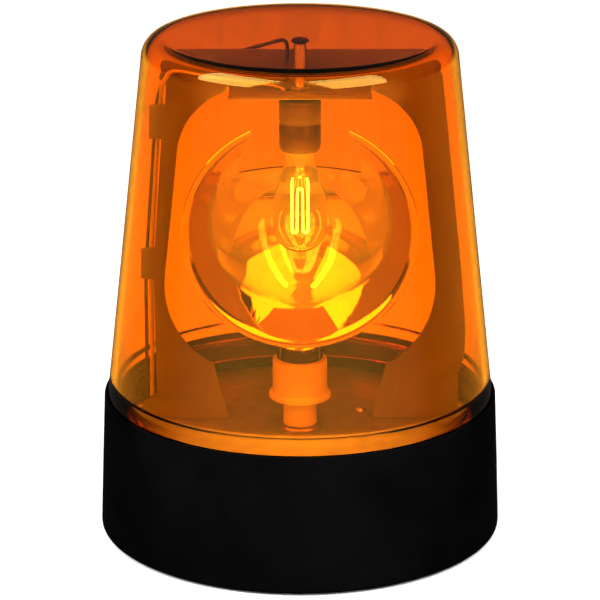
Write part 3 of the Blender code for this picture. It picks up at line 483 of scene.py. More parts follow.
def pan_head_screw(node, body="base", up=False):
    """A pan head screw with a cross recess, where its plain CAD blank stands."""
    low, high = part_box(node)
    x, y = middle(low, high)
    length = high[2] - low[2] - HEAD_HEIGHT
    outline = [(0.0, HEAD_HEIGHT), (0.0011, 0.00125), (0.0019, 0.0009), (0.00245, 0.0004), (0.0026, 0.0)]
    outline += [(0.0012, 0.0)]
    turns = max(4, int(length / THREAD_PITCH))
    for i in range(turns):
        z = -0.0004 - (length - 0.0008) * i / turns
        outline += [(0.0012, z), (0.00095, z - 0.00030)]
    outline += [(0.0007, -length), (0.0, -length)]
    screw = turned(node + "_threaded", outline, 24)
    for turn in (0.0, 90.0):
        cut(screw, block((-0.0013, -0.00022, 0.0007), (0.0013, 0.00022, 0.0020), turn + 20.0))
    if up:
        screw.rotation_euler = (math.pi, 0.0, 0.0)
        screw.location = (x, y, low[2] + HEAD_HEIGHT)
    else:
        screw.location = (x, y, high[2] - HEAD_HEIGHT)
    settle(screw)
    smooth(screw, 35.0)
    give(screw, ZINC, node, body=body, slot="screw_steel")
    return screw


for number in (1, 2, 3, 4):
    pan_head_screw(f"cover_screw_{number}", up=True)


# --- Cord grommet --------------------------------------------------------------------------------
# A black rubber bush in the rear wall, seated flush in its counterbore, with a groove for the wall.
grommet_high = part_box("cord_grommet")[1]
grommet_seat = BASE_RADIUS - 0.0014
face = grommet_high[1] - grommet_seat
grommet_outline = [(0.0036, face), (0.0064, face), (0.0068, face - 0.0002), (0.0069, face - 0.0005),
                   (0.0069, face - 0.0021), (0.0044, face - 0.0022), (0.0044, -0.0030),
                   (0.0058, -0.0030),
                   (0.0060, -0.0032), (0.0060, -0.0043), (0.0057, -0.0045), (0.0034, -0.0045),
                   (0.0032, -0.0042), (0.0032, face - 0.0004)]
grommet = turned("cord_bush", grommet_outline, 64, closed=True)
grommet.rotation_euler = (-math.pi / 2, 0.0, 0.0)
shift(grommet, (0.0, grommet_seat, GROMMET_HEIGHT))
smooth(grommet, 35.0)
SEAL_RUBBER = rubber("black_seal_rubber", "#0C0C0C")
give(grommet, SEAL_RUBBER, "cord_grommet", slot="seal_rubber")


# --- Deck plate and its screws -------------------------------------------------------------------
# A disc of galvanised steel sheet, punched for the screws, the bearing and the leads. It lies on the
# bosses of the drum, held by four pan head screws, and throws warm light back up into the dome.
def punched_holes(plate, holes, low, high):
    for x, y, radius in holes:
        cut(plate, bar(radius, (x, y, low), (x, y, high), 28))


def bevelled(radius, low, high, edge=0.0003, bore=0.0):
    """The outline of a round piece with bevelled edges, with a bore through it or none."""
    return [(bore, high), (radius - edge, high), (radius, high - edge), (radius, low + edge),
            (radius - edge, low), (bore, low)]


def galvanised_sheet():
    """Rolled galvanised steel: spangle of about 6 mm, and rolling lines about 0.3 mm apart along X."""
    mat, place = blank("deck_galvanised")
    spangle = add(mat, "TexVoronoi", {"Scale": 160.0}, Vector=place)
    stretch = add(mat, "Mapping", {"Scale": (8.0, 900.0, 8.0)}, Vector=place)
    rolling = add(mat, "TexNoise", {"Scale": 3.0, "Detail": 4.0}, Vector=stretch)
    tone = add(mat, "ValToRGB", Fac=spangle)
    tone.color_ramp.elements[0].color = shade("#8F9192")
    tone.color_ramp.elements[1].color = shade("#A6A8A9")
    gloss = add(mat, "MapRange", {"To Min": 0.30, "To Max": 0.46}, Value=rolling)
    bump = add(mat, "Bump", {"Strength": 0.12, "Distance": 0.00004}, Height=rolling)
    shader = add(mat, "BsdfPrincipled", {"Metallic": 0.55}, Base_Color=tone,
                 Roughness=gloss, Normal=bump)
    return finish_material(mat, shader)


DECK_TOP = deck_high[2]
bracket_low, bracket_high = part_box("bracket_plate")
PLATE_BACK = 0.0100
BUSH_HOLE = 0.0063
MOTOR_X = 0.0228
PILLAR_Y = 0.0180
LEAD_HOLE = (-0.0566, 0.0115, 0.0034)
bracket_screw_boxes = [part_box(f"bracket_screw_{i}") for i in (1, 2, 3, 4)]
deck_outline = bevelled(deck_high[0], deck_low[2], DECK_TOP, bore=BUSH_HOLE)
deck = turned("deck_disc", deck_outline, 128, closed=True)
deck_holes = [(*on_circle(BOSS_RING, degrees), SCREW_HOLE) for degrees in DECK_SCREWS]
deck_holes += [(*middle(*box), SCREW_HOLE) for box in bracket_screw_boxes]
deck_holes += [(MOTOR_X, -PILLAR_Y, SCREW_HOLE), (MOTOR_X, PILLAR_Y, SCREW_HOLE), LEAD_HOLE]
punched_holes(deck, deck_holes, deck_low[2] - 0.0010, DECK_TOP + 0.0010)
smooth(deck)
give(deck, galvanised_sheet(), "deck_plate", slot="deck_steel")
for number in (1, 2, 3, 4):
    pan_head_screw(f"deck_screw_{number}")
for number in (1, 2):
    pan_head_screw(f"motor_screw_{number}")


# --- Dome seal -----------------------------------------------------------------------------------
# A flat ring of soft black rubber under the bead of the dome, with two raised sealing lips.
seal_outline = [(0.0684, seal_high[2] - 0.0002), (0.0688, seal_high[2]), (0.0692, seal_high[2] - 0.0002),
                (0.0708, seal_high[2] - 0.0002), (0.0712, seal_high[2]), (0.0716, seal_high[2] - 0.0002),
                (0.0716, seal_low[2] + 0.0001), (0.0715, seal_low[2]), (0.0685, seal_low[2]),
                (0.0684, seal_low[2] + 0.0001)]
seal = turned("seal_ring", seal_outline, 160, closed=True)
smooth(seal, 40.0)
give(seal, SEAL_RUBBER, "dome_seal", body="seal", slot="seal_rubber")


# --- Dome ----------------------------------------------------------------------------------------
# One injection moulding in clear amber acrylic, 2.5 mm thick: a slightly tapered wall, a flat roof
# with a rounded corner, and a thick bead at its foot over a skirt with three locking lugs.
def amber_acrylic():
    """Clear polished acrylic: slight flow waves a few centimetres long, and a finer ripple on them."""
    mat, place = blank("dome_acrylic")
    flow = add(mat, "TexNoise", {"Scale": 26.0, "Detail": 2.0}, Vector=place)
    ripple = add(mat, "TexNoise", {"Scale": 420.0, "Detail": 2.0}, Vector=place)
    flow_bump = add(mat, "Bump", {"Strength": 0.05, "Distance": 0.0004}, Height=flow)
    bump = add(mat, "Bump", {"Strength": 0.04, "Distance": 0.00003}, Height=ripple, Normal=flow_bump)
    shader = add(mat, "BsdfPrincipled",
                 {"Base Color": shade("#F79818"), "Roughness": 0.02, "IOR": 1.49,
                  "Transmission Weight": 1.0, "Specular Tint": shade("#FFE068")}, Normal=bump)
    return finish_material(mat, shader)


DOME_TOP = dome_high[2]
ROOF_RADIUS = 0.0579
CORNER = 0.0078
WALL = 0.0025
BEAD_TOP = 0.0585
bead_bottom = seal_high[2] + 0.0003
skirt_bottom = dome_low[2]
corner_height = DOME_TOP - CORNER
corner_centre = ROOF_RADIUS - CORNER
taper = (DOME_RADIUS - ROOF_RADIUS) / (corner_height - RIM_TOP)
taper_angle = math.degrees(math.atan(taper))


def wall_at(height, inset=0.0):
    """The radius of the tapered wall at a height, with its height."""
    return DOME_RADIUS - taper * (height - RIM_TOP) - inset, height


dome_outline = [(0.0, DOME_TOP), (corner_centre - 0.0100, DOME_TOP), (corner_centre - 0.0004, DOME_TOP)]
dome_outline += arc(corner_centre, corner_height, CORNER, 90, taper_angle, 16)
dome_outline += [wall_at(corner_height - 0.0004), wall_at(0.1200), wall_at(RIM_TOP + 0.0004)]
dome_outline += [(DOME_RADIUS, RIM_TOP), (DOME_RADIUS, RIM_TOP - 0.0004),
                 (DOME_RADIUS, bead_bottom + 0.0003),
                 (DOME_RADIUS - 0.0003, bead_bottom), (0.0676, bead_bottom),
                 (0.0676, skirt_bottom + 0.0003),
                 (0.0673, skirt_bottom), (0.0655, skirt_bottom), (0.0652, skirt_bottom + 0.0003),
                 (0.0652, bead_bottom), (0.0674, bead_bottom + 0.0012), (0.0674, bead_bottom + 0.0016),
                 (0.0674, BEAD_TOP - 0.0012), (0.0676, BEAD_TOP - 0.0007), (0.0680, BEAD_TOP - 0.0003),
                 (wall_at(BEAD_TOP, WALL + 0.0002)[0], BEAD_TOP), wall_at(BEAD_TOP + 0.0006, WALL),
                 wall_at(BEAD_TOP + 0.0010, WALL), wall_at(0.1200,
                                                           WALL), wall_at(corner_height - 0.0004, WALL)]
dome_outline += arc(corner_centre, corner_height, CORNER - WALL, taper_angle, 90, 14)
dome_outline += [(corner_centre - 0.0004, DOME_TOP - WALL), (corner_centre - 0.0100, DOME_TOP - WALL)]
dome_outline += [(0.0, DOME_TOP - WALL)]
shell = turned("dome_shell", dome_outline, 256)
for degrees in (90, 210, 330):
    lug = block((0.0662, -0.0070, skirt_bottom + 0.0002), (0.0693, 0.0070, LEDGE_BOTTOM - 0.0003),
                degrees)
    soften(lug, 0.0003)
    cut(shell, lug, "UNION")
smooth(shell, 20.0)
give(shell, amber_acrylic(), "dome", body="dome", slot="amber_acrylic")


# --- Bracket and its screws ----------------------------------------------------------------------
# A window-shaped plate of 1.5 mm steel with a lamp shelf at its head and two foot flanges, painted
# grey. The punched edges are rounded, and their paint is lighter, partly as worn paint and partly as a
# painted highlight.
def painted_steel():
    """Thin grey paint on sheet steel: orange peel of about 1 mm, and sharp edges painted lighter, partly as
    worn paint and partly as a painted highlight.
    """
    mat, place = blank("bracket_paint")
    peel = add(mat, "TexNoise", {"Scale": 900.0, "Detail": 3.0}, Vector=place)
    age = add(mat, "TexNoise", {"Scale": 60.0, "Detail": 6.0}, Vector=place)
    edge = add(mat, "NewGeometry")
    # Sharp edges are painted lighter: partly worn paint, partly a painted highlight along the edges.
    worn_and_highlit_edge = add(mat, "MapRange", {"From Min": 0.53, "From Max": 0.60, "To Min": 0.0, "To Max": 1.0},
               Value=edge.outputs["Pointiness"])
    tone = add(mat, "ValToRGB", Fac=age)
    tone.color_ramp.elements[0].color = shade("#686869")
    tone.color_ramp.elements[1].color = shade("#747477")
    wear_and_painted_highlight = add(mat, "Mix", {"data_type": "RGBA"})
    mat.node_tree.links.new(worn_and_highlit_edge.outputs["Result"], wear_and_painted_highlight.inputs[0])
    mat.node_tree.links.new(tone.outputs["Color"], wear_and_painted_highlight.inputs[6])
    wear_and_painted_highlight.inputs[7].default_value = shade("#9A9A98")
    gloss = add(mat, "MapRange", {"To Min": 0.32, "To Max": 0.50}, Value=age)
    bump = add(mat, "Bump", {"Strength": 0.10, "Distance": 0.00005}, Height=peel)
    shader = add(mat, "BsdfPrincipled", Roughness=gloss, Normal=bump)
    mat.node_tree.links.new(wear_and_painted_highlight.outputs[2], shader.inputs["Base Color"])
    return finish_material(mat, shader)


def sheet_from(name, outline, front, thickness):
    """A flat sheet standing up across X and Z: an outline drawn edge by edge, filled and thickened."""
    deselect()
    x, z = outline[0]
    bpy.ops.mesh.primitive_plane_add(size=0.001, location=(x, front, z))
    obj = bpy.context.object
    obj.name = name
    obj.data.name = name
    settle(obj)
    bpy.ops.object.mode_set(mode="EDIT")
    bpy.ops.mesh.select_all(action="SELECT")
    bpy.ops.mesh.merge(type="CENTER")
    for next_x, next_z in outline[1:]:
        extrude_by(next_x - x, 0.0, next_z - z)
        x, z = next_x, next_z
    bpy.ops.mesh.select_all(action="SELECT")
    bpy.ops.mesh.edge_face_add()
    extrude_by(0.0, thickness, 0.0)
    bpy.ops.mesh.select_all(action="SELECT")
    bpy.ops.mesh.normals_make_consistent(inside=False)
    bpy.ops.object.mode_set(mode="OBJECT")
    return obj


PLATE_FRONT = 0.0085
PLATE = 0.0015
BEAM_TOP = bracket_high[2]
SHELF_BOTTOM = 0.1668
FLANGE_BOTTOM = bracket_low[2]
right_edge = [(0.0450, BEAM_TOP), (0.0484, 0.1789), (0.0506, 0.1775), (0.0520, 0.1757), (0.0528, 0.1730),
              (0.0542, 0.1614), (0.0610, 0.0970), (0.0625, 0.0790), (0.0628, 0.0720), (0.0627, 0.0665),
              (0.0622, 0.0620), (0.0603, 0.0570), (0.0600, 0.0550), (0.0600, FLANGE_BOTTOM)]
window_right = [(0.0260, SHELF_BOTTOM)] + arc(0.0190, 0.1400, 0.0268, 74, 8, 14)
window_right += [(0.0482, 0.1180), (0.0506, 0.0960)]
window_right += arc(0.0166, 0.0900, 0.0343, 4, -62, 14) + [(0.0270, FLANGE_BOTTOM)]
left_edge = [(-0.0600, FLANGE_BOTTOM), (-0.0600, 0.0440), (-0.0542, 0.0480), (-0.0550, 0.0932),
             (-0.0600, 0.0935), (-0.0600, 0.1052), (-0.0545, 0.1055), (-0.0516, 0.1474),
             (-0.0565, 0.1476),
             (-0.0565, 0.1604), (-0.0500, 0.1607), (-0.0496, 0.1682), (-0.0524, 0.1706),
             (-0.0516, 0.1752), (-0.0506, 0.1775), (-0.0484, 0.1789), (-0.0450, BEAM_TOP)]
window_left = [(-x, z) for x, z in window_right]
bracket_outline = right_edge + list(reversed(window_right)) + window_left + left_edge
bracket = sheet_from("lamp_bracket", bracket_outline, PLATE_FRONT, PLATE)
shelf = block((-0.0260, bracket_low[1], SHELF_BOTTOM),
              (0.0260, PLATE_BACK - 0.0004, SHELF_BOTTOM + PLATE))
cut(bracket, shelf, "UNION")
for side in (-1, 1):
    ends = sorted((side * 0.0290, side * 0.0530))
    cut(bracket, block((ends[0], PLATE_FRONT + 0.0004, FLANGE_BOTTOM),
                       (ends[1], bracket_high[1], FLANGE_BOTTOM + PLATE)), "UNION")
bracket_holes = [(*middle(*box), SCREW_HOLE) for box in bracket_screw_boxes]
punched_holes(bracket, bracket_holes, FLANGE_BOTTOM - 0.0010, FLANGE_BOTTOM + 0.0030)
shelf_holes = [(0.0, 0.0, 0.0026), (-0.0056, 0.0, 0.0024)]
punched_holes(bracket, shelf_holes, SHELF_BOTTOM - 0.0010, SHELF_BOTTOM + 0.0030)
soften(bracket, 0.00025, 2, 40.0)
smooth(bracket, 35.0)
give(bracket, painted_steel(), "bracket_plate", slot="bracket_steel")
for number in (1, 2, 3, 4):
    pan_head_screw(f"bracket_screw_{number}")


# --- Lamp holder, its core, nut and steady post --------------------------------------------------
# A round shell moulded in dark phenolic with a ceramic contact disc inside, clamped to the shelf by
# a nut on the hollow steel post that steadies the roof of the dome through a rubber cap.
def phenolic():
    """Dark brown phenolic: glossy skin over wood-flour filler, with specks of about 0.3 mm."""
    mat, place = blank("holder_phenolic")
    filler = add(mat, "TexNoise", {"Scale": 3200.0, "Detail": 3.0}, Vector=place)
    tone = add(mat, "ValToRGB", Fac=filler)
    tone.color_ramp.elements[0].position = 0.4
    tone.color_ramp.elements[0].color = shade("#4E4A47")
    tone.color_ramp.elements[1].position = 0.7
    tone.color_ramp.elements[1].color = shade("#67625E")
    bump = add(mat, "Bump", {"Strength": 0.06, "Distance": 0.00004}, Height=filler)
    shader = add(mat, "BsdfPrincipled", {"Roughness": 0.26, "IOR": 1.6}, Base_Color=tone, Normal=bump)
    return finish_material(mat, shader)


def steatite():
    """Fired steatite: off-white, finely granular, unglazed."""
    mat, place = blank("core_steatite")
    grain = add(mat, "TexNoise", {"Scale": 2600.0, "Detail": 4.0}, Vector=place)
    tone = add(mat, "ValToRGB", Fac=grain)
    tone.color_ramp.elements[0].color = shade("#CFC7B6")
    tone.color_ramp.elements[1].color = shade("#E9E3D6")
    bump = add(mat, "Bump", {"Strength": 0.2, "Distance": 0.00004}, Height=grain)
    shader = add(mat, "BsdfPrincipled", {"Roughness": 0.6}, Base_Color=tone, Normal=bump)
    return finish_material(mat, shader)


holder_low, holder_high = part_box("lamp_holder")
holder_radius = holder_high[0]
holder_foot, holder_top = holder_low[2], holder_high[2]
bore = holder_radius - 0.0012
HOLDER_CORNER = 0.0016
GROOVE = 0.0003
POST_HOLE = 0.0026
holder_outline = [(POST_HOLE, holder_top), (holder_radius - HOLDER_CORNER, holder_top)]
holder_outline += arc(holder_radius - HOLDER_CORNER, holder_top - HOLDER_CORNER, HOLDER_CORNER, 80, 0, 5)
holder_outline += [(holder_radius, holder_foot + 0.0110), (holder_radius - GROOVE, holder_foot + 0.0106),
                   (holder_radius - GROOVE, holder_foot + 0.0098), (holder_radius, holder_foot + 0.0094),
                   (holder_radius, holder_foot + 0.0022), (holder_radius - 0.0002, holder_foot + 0.0008),
                   (holder_radius - 0.0007, holder_foot), (bore + 0.0002, holder_foot),
                   (bore, holder_foot + 0.0003), (bore, holder_top - 0.0014),
                   (POST_HOLE, holder_top - 0.0014)]
holder = turned("holder_shell", holder_outline, 96, closed=True)
smooth(holder, 40.0)
give(holder, phenolic(), "lamp_holder", slot="holder_plastic")

core_low, core_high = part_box("holder_core")
core = turned("contact_disc", bevelled(core_high[0], core_low[2], core_high[2]), 64)
smooth(core)
give(core, steatite(), "holder_core", slot="ceramic")

nut_low, nut_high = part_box("holder_nut")
nut_outline = [(POST_HOLE, nut_high[2]), (0.0030, nut_high[2]), (0.0036, nut_high[2] - 0.0003),
               (0.0036, nut_low[2] + 0.0003), (0.0030, nut_low[2]), (POST_HOLE, nut_low[2])]
nut = turned("clamp_nut", nut_outline, 6, closed=True)
smooth(nut, 20.0)
give(nut, ZINC, "holder_nut", slot="screw_steel")

post_low, post_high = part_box("steady_post")
post_radius = post_high[0]
post_outline = [(0.0, post_high[2]), (post_radius - 0.0003, post_high[2]),
                (post_radius, post_high[2] - 0.0003)]
thread_top = nut_high[2] + 0.0030
for i in range(12):
    z = thread_top - THREAD_PITCH * i
    post_outline += [(post_radius, z), (post_radius - 0.0003, z - 0.00035)]
post_outline += [(post_radius, post_low[2] + 0.0003), (post_radius - 0.0003, post_low[2]),
                 (0.0, post_low[2])]
post = turned("steady_rod", post_outline, 48)
smooth(post, 40.0)
give(post, ZINC, "steady_post", slot="screw_steel")

cap_low, cap_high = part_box("post_cap")
cap_radius = cap_high[0]
tip_outline = [(0.0, cap_high[2]), (cap_radius - 0.0010, cap_high[2]),
               (cap_radius - 0.0004, cap_high[2] - 0.0002), (cap_radius, cap_high[2] - 0.0006),
               (cap_radius, cap_low[2] + 0.0001), (cap_radius - 0.0001, cap_low[2]), (0.0, cap_low[2])]
tip = turned("post_tip", tip_outline, 40)
smooth(tip, 50.0)
give(tip, SEAL_RUBBER, "post_cap", slot="seal_rubber")


# --- Bulb ----------------------------------------------------------------------------------------
# A small clear glass bulb, hanging down from the holder by its nickel-plated cap, with a glass stem.
def clear_glass(name, roughness, glow):
    """Blown soda glass: clear, faintly wavy, with a faint painted glow of its own standing in for the hot
    wire's light caught in it.
    """
    mat, place = blank(name)
    wave = add(mat, "TexNoise", {"Scale": 300.0, "Detail": 1.0}, Vector=place)
    bump = add(mat, "Bump", {"Strength": 0.05, "Distance": 0.0001}, Height=wave)
    # The emission makes the glass itself glow: a painted glow in place of the wire's light held in the
    # glass.
    shader = add(mat, "BsdfPrincipled",
                 {"Base Color": shade("#FEFDFB"), "Roughness": roughness, "IOR": 1.5,
                  "Transmission Weight": 1.0,
                  "Emission Color": shade("#FFE2B8"), "Emission Strength": glow}, Normal=bump)
    return finish_material(mat, shader)


def nickel():
    """Nickel plate on brass: warm grey, with fine turning lines round the cap."""
    mat, place = blank("cap_nickel_plate")
    stretch = add(mat, "Mapping", {"Scale": (40.0, 40.0, 6000.0)}, Vector=place)
    lines = add(mat, "TexNoise", {"Scale": 1.0, "Detail": 3.0}, Vector=stretch)
    gloss = add(mat, "MapRange", {"To Min": 0.16, "To Max": 0.34}, Value=lines)
    bump = add(mat, "Bump", {"Strength": 0.08, "Distance": 0.00002}, Height=lines)
    shader = add(mat, "BsdfPrincipled", {"Base Color": shade("#D9D2C6"), "Metallic": 1.0},
                 Roughness=gloss, Normal=bump)
    return finish_material(mat, shader)


bulb_low, bulb_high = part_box("bulb_glass")
BULB_TOP = bulb_high[2]
BULB_RADIUS = 0.0102
NECK = 0.0052
NECK_FOOT = 0.1440


def bulb_section(wall):
    """The bulb's section from its neck down to its tip, drawn in by the wall."""
    section = [(NECK - wall, BULB_TOP), (NECK + 0.0001 - wall, NECK_FOOT)]
    for i in range(1, 12):
        share = i / 12
        swell = (1 - math.cos(math.pi * share)) / 2
        section.append((NECK + (BULB_RADIUS - NECK) * swell - wall, NECK_FOOT - 0.0180 * share))
    section.append((BULB_RADIUS - wall, 0.1260))
    section += arc(0.0, bulb_low[2] + BULB_RADIUS, BULB_RADIUS - wall, 0, -84, 12)
    section.append((0.0, bulb_low[2] + wall))
    return section


globe = turned("bulb_globe", [*reversed(bulb_section(0.0005)), *bulb_section(0.0)], 96)
smooth(globe, 60.0)
give(globe, clear_glass("bulb_soda_glass", 0.0, 0.10), "bulb_glass", slot="lamp_glass")

stem_low, stem_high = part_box("bulb_stem")
stem_outline = [(0.0, stem_high[2]), (0.0034, stem_high[2]), (0.0036, stem_high[2] - 0.0004),
                (0.0031, NECK_FOOT), (0.0022, 0.1420), (0.0016, 0.1396), (0.0014, 0.1380), (0.0016, 0.1370),
                (0.0020, 0.1360), (0.0018, 0.1352), (0.0012, stem_low[2] + 0.0002), (0.0, stem_low[2])]
stem = turned("stem_glass", stem_outline, 48)
smooth(stem, 60.0)
give(stem, clear_glass("stem_lead_glass", 0.05, 0.3), "bulb_stem", slot="lamp_glass")

cap_box_low, cap_box_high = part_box("bulb_cap")
shell_radius = cap_box_high[0]
cap_top, cap_foot = cap_box_high[2], cap_box_low[2]
cap_outline = [(0.0, cap_top), (0.0014, cap_top), (0.0018, cap_top - 0.0003),
               (0.0024, cap_top - 0.0012), (0.0046, cap_top - 0.0020)]
CAP_THREAD = 0.0021
for i in range(5):
    top = cap_top - 0.0028 - CAP_THREAD * i
    cap_outline += [(shell_radius - 0.0001, top + 0.0002), (shell_radius, top),
                    (shell_radius - 0.0001, top - 0.0003), (shell_radius - 0.0006, top - 0.0010)]
cap_outline += [(shell_radius, cap_foot + 0.0004), (shell_radius - 0.0002, cap_foot), (0.0, cap_foot)]
bulb_cap = turned("cap_shell", cap_outline, 64)
smooth(bulb_cap, 50.0)
give(bulb_cap, nickel(), "bulb_cap", slot="cap_nickel")


# --- Filament ------------------------------------------------------------------------------------
# A coiled tungsten wire hanging in four legs between two supports, burning nearly white.
def hot_tungsten():
    """Glowing tungsten: nearly white, a little yellower in places along the coil."""
    mat, place = blank("hot_tungsten")
    turns = add(mat, "TexNoise", {"Scale": 900.0, "Detail": 2.0}, Vector=place)
    colour = add(mat, "ValToRGB", Fac=turns)
    colour.color_ramp.elements[0].color = shade("#FFEFD6")
    colour.color_ramp.elements[1].color = shade("#FFFDF8")
    shader = add(mat, "BsdfPrincipled", {"Metallic": 1.0, "Roughness": 0.5, "Emission Strength": 110.0,
                                         "Base Color": shade("#6A6560")}, Emission_Color=colour)
    return finish_material(mat, shader)


def wire(name, points, radius, resolution=4, facets=3):
    """A round wire along a smooth line near the points, welded into one closed skin."""
    curve = bpy.data.curves.new(name, "CURVE")
    curve.dimensions = "3D"
    curve.bevel_depth = radius
    curve.bevel_resolution = facets
    curve.use_fill_caps = True
    curve.resolution_u = resolution
    spline = curve.splines.new("NURBS")
    spline.points.add(len(points) - 1)
    for point, position in zip(spline.points, points):
        point.co = (*position, 1.0)
    spline.order_u = 3
    spline.use_endpoint_u = True
    obj = bpy.data.objects.new(name, curve)
    scene.collection.objects.link(obj)
    pick(obj)
    bpy.ops.object.convert(target="MESH")
    bpy.ops.object.mode_set(mode="EDIT")
    bpy.ops.mesh.select_all(action="SELECT")
    bpy.ops.mesh.remove_doubles(threshold=0.000005)
    bpy.ops.mesh.normals_make_consistent(inside=False)
    bpy.ops.object.mode_set(mode="OBJECT")
    smooth(obj, 60.0)
    return obj


filament_low, filament_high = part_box("filament")
TURN = 0.0010
LEG_TOP = 0.1300
leg_bottom = filament_low[2] + TURN + 0.00025
clamp = filament_high[2] - 0.0003
hairpins = [(-0.0026, 0.0, clamp), (-3 * TURN, 0.0, 0.1332)]
for leg in range(4):
    x = (2 * leg - 3) * TURN
    down = leg % 2 == 0
    start, end = (LEG_TOP, leg_bottom) if down else (leg_bottom, LEG_TOP)
    hairpins += [(x, 0.0, start), (x, 0.0, end)]
    if leg < 3:
        dip = -TURN if down else TURN
        hairpins += [(x + 0.3 * TURN, 0.0, end + 0.7 * dip), (x + TURN, 0.0, end + dip),
                     (x + 1.7 * TURN, 0.0, end + 0.7 * dip)]
hairpins += [(3 * TURN, 0.0, 0.1332), (0.0026, 0.0, clamp)]
COIL_RADIUS = 0.00045
filament = wire("filament_wire", hairpins, COIL_RADIUS)
give(filament, hot_tungsten(), "filament", slot="tungsten")


# --- Leads ---------------------------------------------------------------------------------------
# Two thin stranded leads, pale and dark, climb from the terminal block through the deck and up the
# left leg behind its tabs, then cross the beam to the holder. Two short dark ones feed the motor.
def pvc_sleeve(name, dark, light):
    """Extruded PVC: smooth and slightly waxy, with a faint unevenness every millimetre or so."""
    mat, place = blank(name)
    wax = add(mat, "TexNoise", {"Scale": 800.0, "Detail": 3.0}, Vector=place)
    tone = add(mat, "ValToRGB", Fac=wax)
    tone.color_ramp.elements[0].color = shade(dark)
    tone.color_ramp.elements[1].color = shade(light)
    bump = add(mat, "Bump", {"Strength": 0.1, "Distance": 0.00004}, Height=wax)
    shader = add(mat, "BsdfPrincipled", {"Roughness": 0.38}, Base_Color=tone, Normal=bump)
    return finish_material(mat, shader)


def smooth_line(points, per_span=5):
    """Points of a smooth line that passes through each of the given points."""
    knots = [Vector(p) for p in points]
    padded = [2 * knots[0] - knots[1]] + knots + [2 * knots[-1] - knots[-2]]
    line = []
    for before, start, stop, after in zip(padded, padded[1:], padded[2:], padded[3:]):
        for step in range(per_span):
            t = step / per_span
            line.append(0.5 * (2 * start + (stop - before) * t
                               + (2 * before - 5 * start + 4 * stop - after) * t ** 2
                               + (3 * start - before - 3 * stop + after) * t ** 3))
    return line + [knots[-1]]


PALE_PVC = pvc_sleeve("pale_pvc", "#CFC6AE", "#E4DDC9")
DARK_PVC = pvc_sleeve("dark_pvc", "#1C1817", "#2A2523")
pale_run = [(-0.0420, 0.0195, 0.0300), (-0.0470, 0.0150, 0.0290), (-0.0540, 0.0120, 0.0320),
            (-0.0563, 0.0115, 0.0380), (-0.0563, 0.0116, 0.0480), (-0.0560, 0.0116, 0.0700),
            (-0.0562, 0.0117, 0.0900), (-0.0558, 0.0118, 0.1050), (-0.0546, 0.0118, 0.1250),
            (-0.0532, 0.0118, 0.1480), (-0.0518, 0.0114, 0.1605), (-0.0514, 0.0086, 0.1648),
            (-0.0506, 0.0062, 0.1692), (-0.0480, 0.0058, 0.1728), (-0.0440, 0.0058, 0.1746),
            (-0.0380, 0.0058, 0.1748), (-0.0280, 0.0050, 0.1736), (-0.0180, 0.0036, 0.1722),
            (-0.0100, 0.0016, 0.1712), (-0.0066, 0.0006, 0.1692), (-0.0060, 0.0, 0.1664)]
dark_run = [(-0.0370, 0.0195, 0.0300), (-0.0420, 0.0130, 0.0270), (-0.0520, 0.0110, 0.0280),
            (-0.0583, 0.0112, 0.0360), (-0.0585, 0.0118, 0.0480), (-0.0582, 0.0124, 0.0700),
            (-0.0584, 0.0132, 0.0900), (-0.0578, 0.0136, 0.1050), (-0.0564, 0.0138, 0.1250),
            (-0.0548, 0.0138, 0.1480), (-0.0538, 0.0130, 0.1600), (-0.0500, 0.0128, 0.1700),
            (-0.0420, 0.0128, 0.1740), (-0.0280, 0.0126, 0.1760), (-0.0140, 0.0122, 0.1800),
            (-0.0060, 0.0100, 0.1824), (-0.0046, 0.0040, 0.1800), (-0.0056, 0.0014, 0.1755)]
LEAD_RADIUS = 0.0009
THIN_LEAD_RADIUS = 0.00072
pale_lead = wire("pale_lamp_lead", smooth_line(pale_run), LEAD_RADIUS, 2)
give(pale_lead, PALE_PVC, "lamp_lead_1", slot="lead_light")
dark_lead = wire("dark_lamp_lead", smooth_line(dark_run), THIN_LEAD_RADIUS, 2)
give(dark_lead, DARK_PVC, "lamp_lead_2", slot="lead_dark")
motor_low, motor_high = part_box("motor_can")
MOTOR_RADIUS = motor_high[0] - MOTOR_X
for number, y in enumerate((0.0040, 0.0075), 1):
    run = [(MOTOR_X - MOTOR_RADIUS - 0.0005, y, 0.0125 + 0.0006 * number), (0.0000, y + 0.0010, 0.0110),
           (-0.0140, 0.0140 + y, 0.0120), (-0.0240, 0.0230 + y / 2, 0.0200),
           (-0.0262, 0.0255 + y / 2, 0.0300 - 0.0012 * number)]
    motor_lead = wire(f"motor_feed_{number}", smooth_line(run), THIN_LEAD_RADIUS, 2)
    give(motor_lead, DARK_PVC, f"motor_lead_{number}", slot="lead_dark")


# --- Terminal block ------------------------------------------------------------------------------
# A three-way block in natural polyamide under the deck, its screw wells open downwards.
def polyamide():
    """Natural polyamide: milky, satin, with a faint moulding grain of about 0.5 mm."""
    mat, place = blank("natural_polyamide")
    grain = add(mat, "TexNoise", {"Scale": 1500.0, "Detail": 3.0}, Vector=place)
    tone = add(mat, "ValToRGB", Fac=grain)
    tone.color_ramp.elements[0].color = shade("#D8D5C6")
    tone.color_ramp.elements[1].color = shade("#E6E3D8")
    bump = add(mat, "Bump", {"Strength": 0.15, "Distance": 0.00004}, Height=grain)
    shader = add(mat, "BsdfPrincipled", {"Roughness": 0.42, "IOR": 1.53},
                 Base_Color=tone, Normal=bump)
    return finish_material(mat, shader)


def refinish(node, mat):
    """Gives a CAD node that stays in view its real finish."""
    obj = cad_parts[node]
    obj.data.materials.clear()
    obj.data.materials.append(mat)


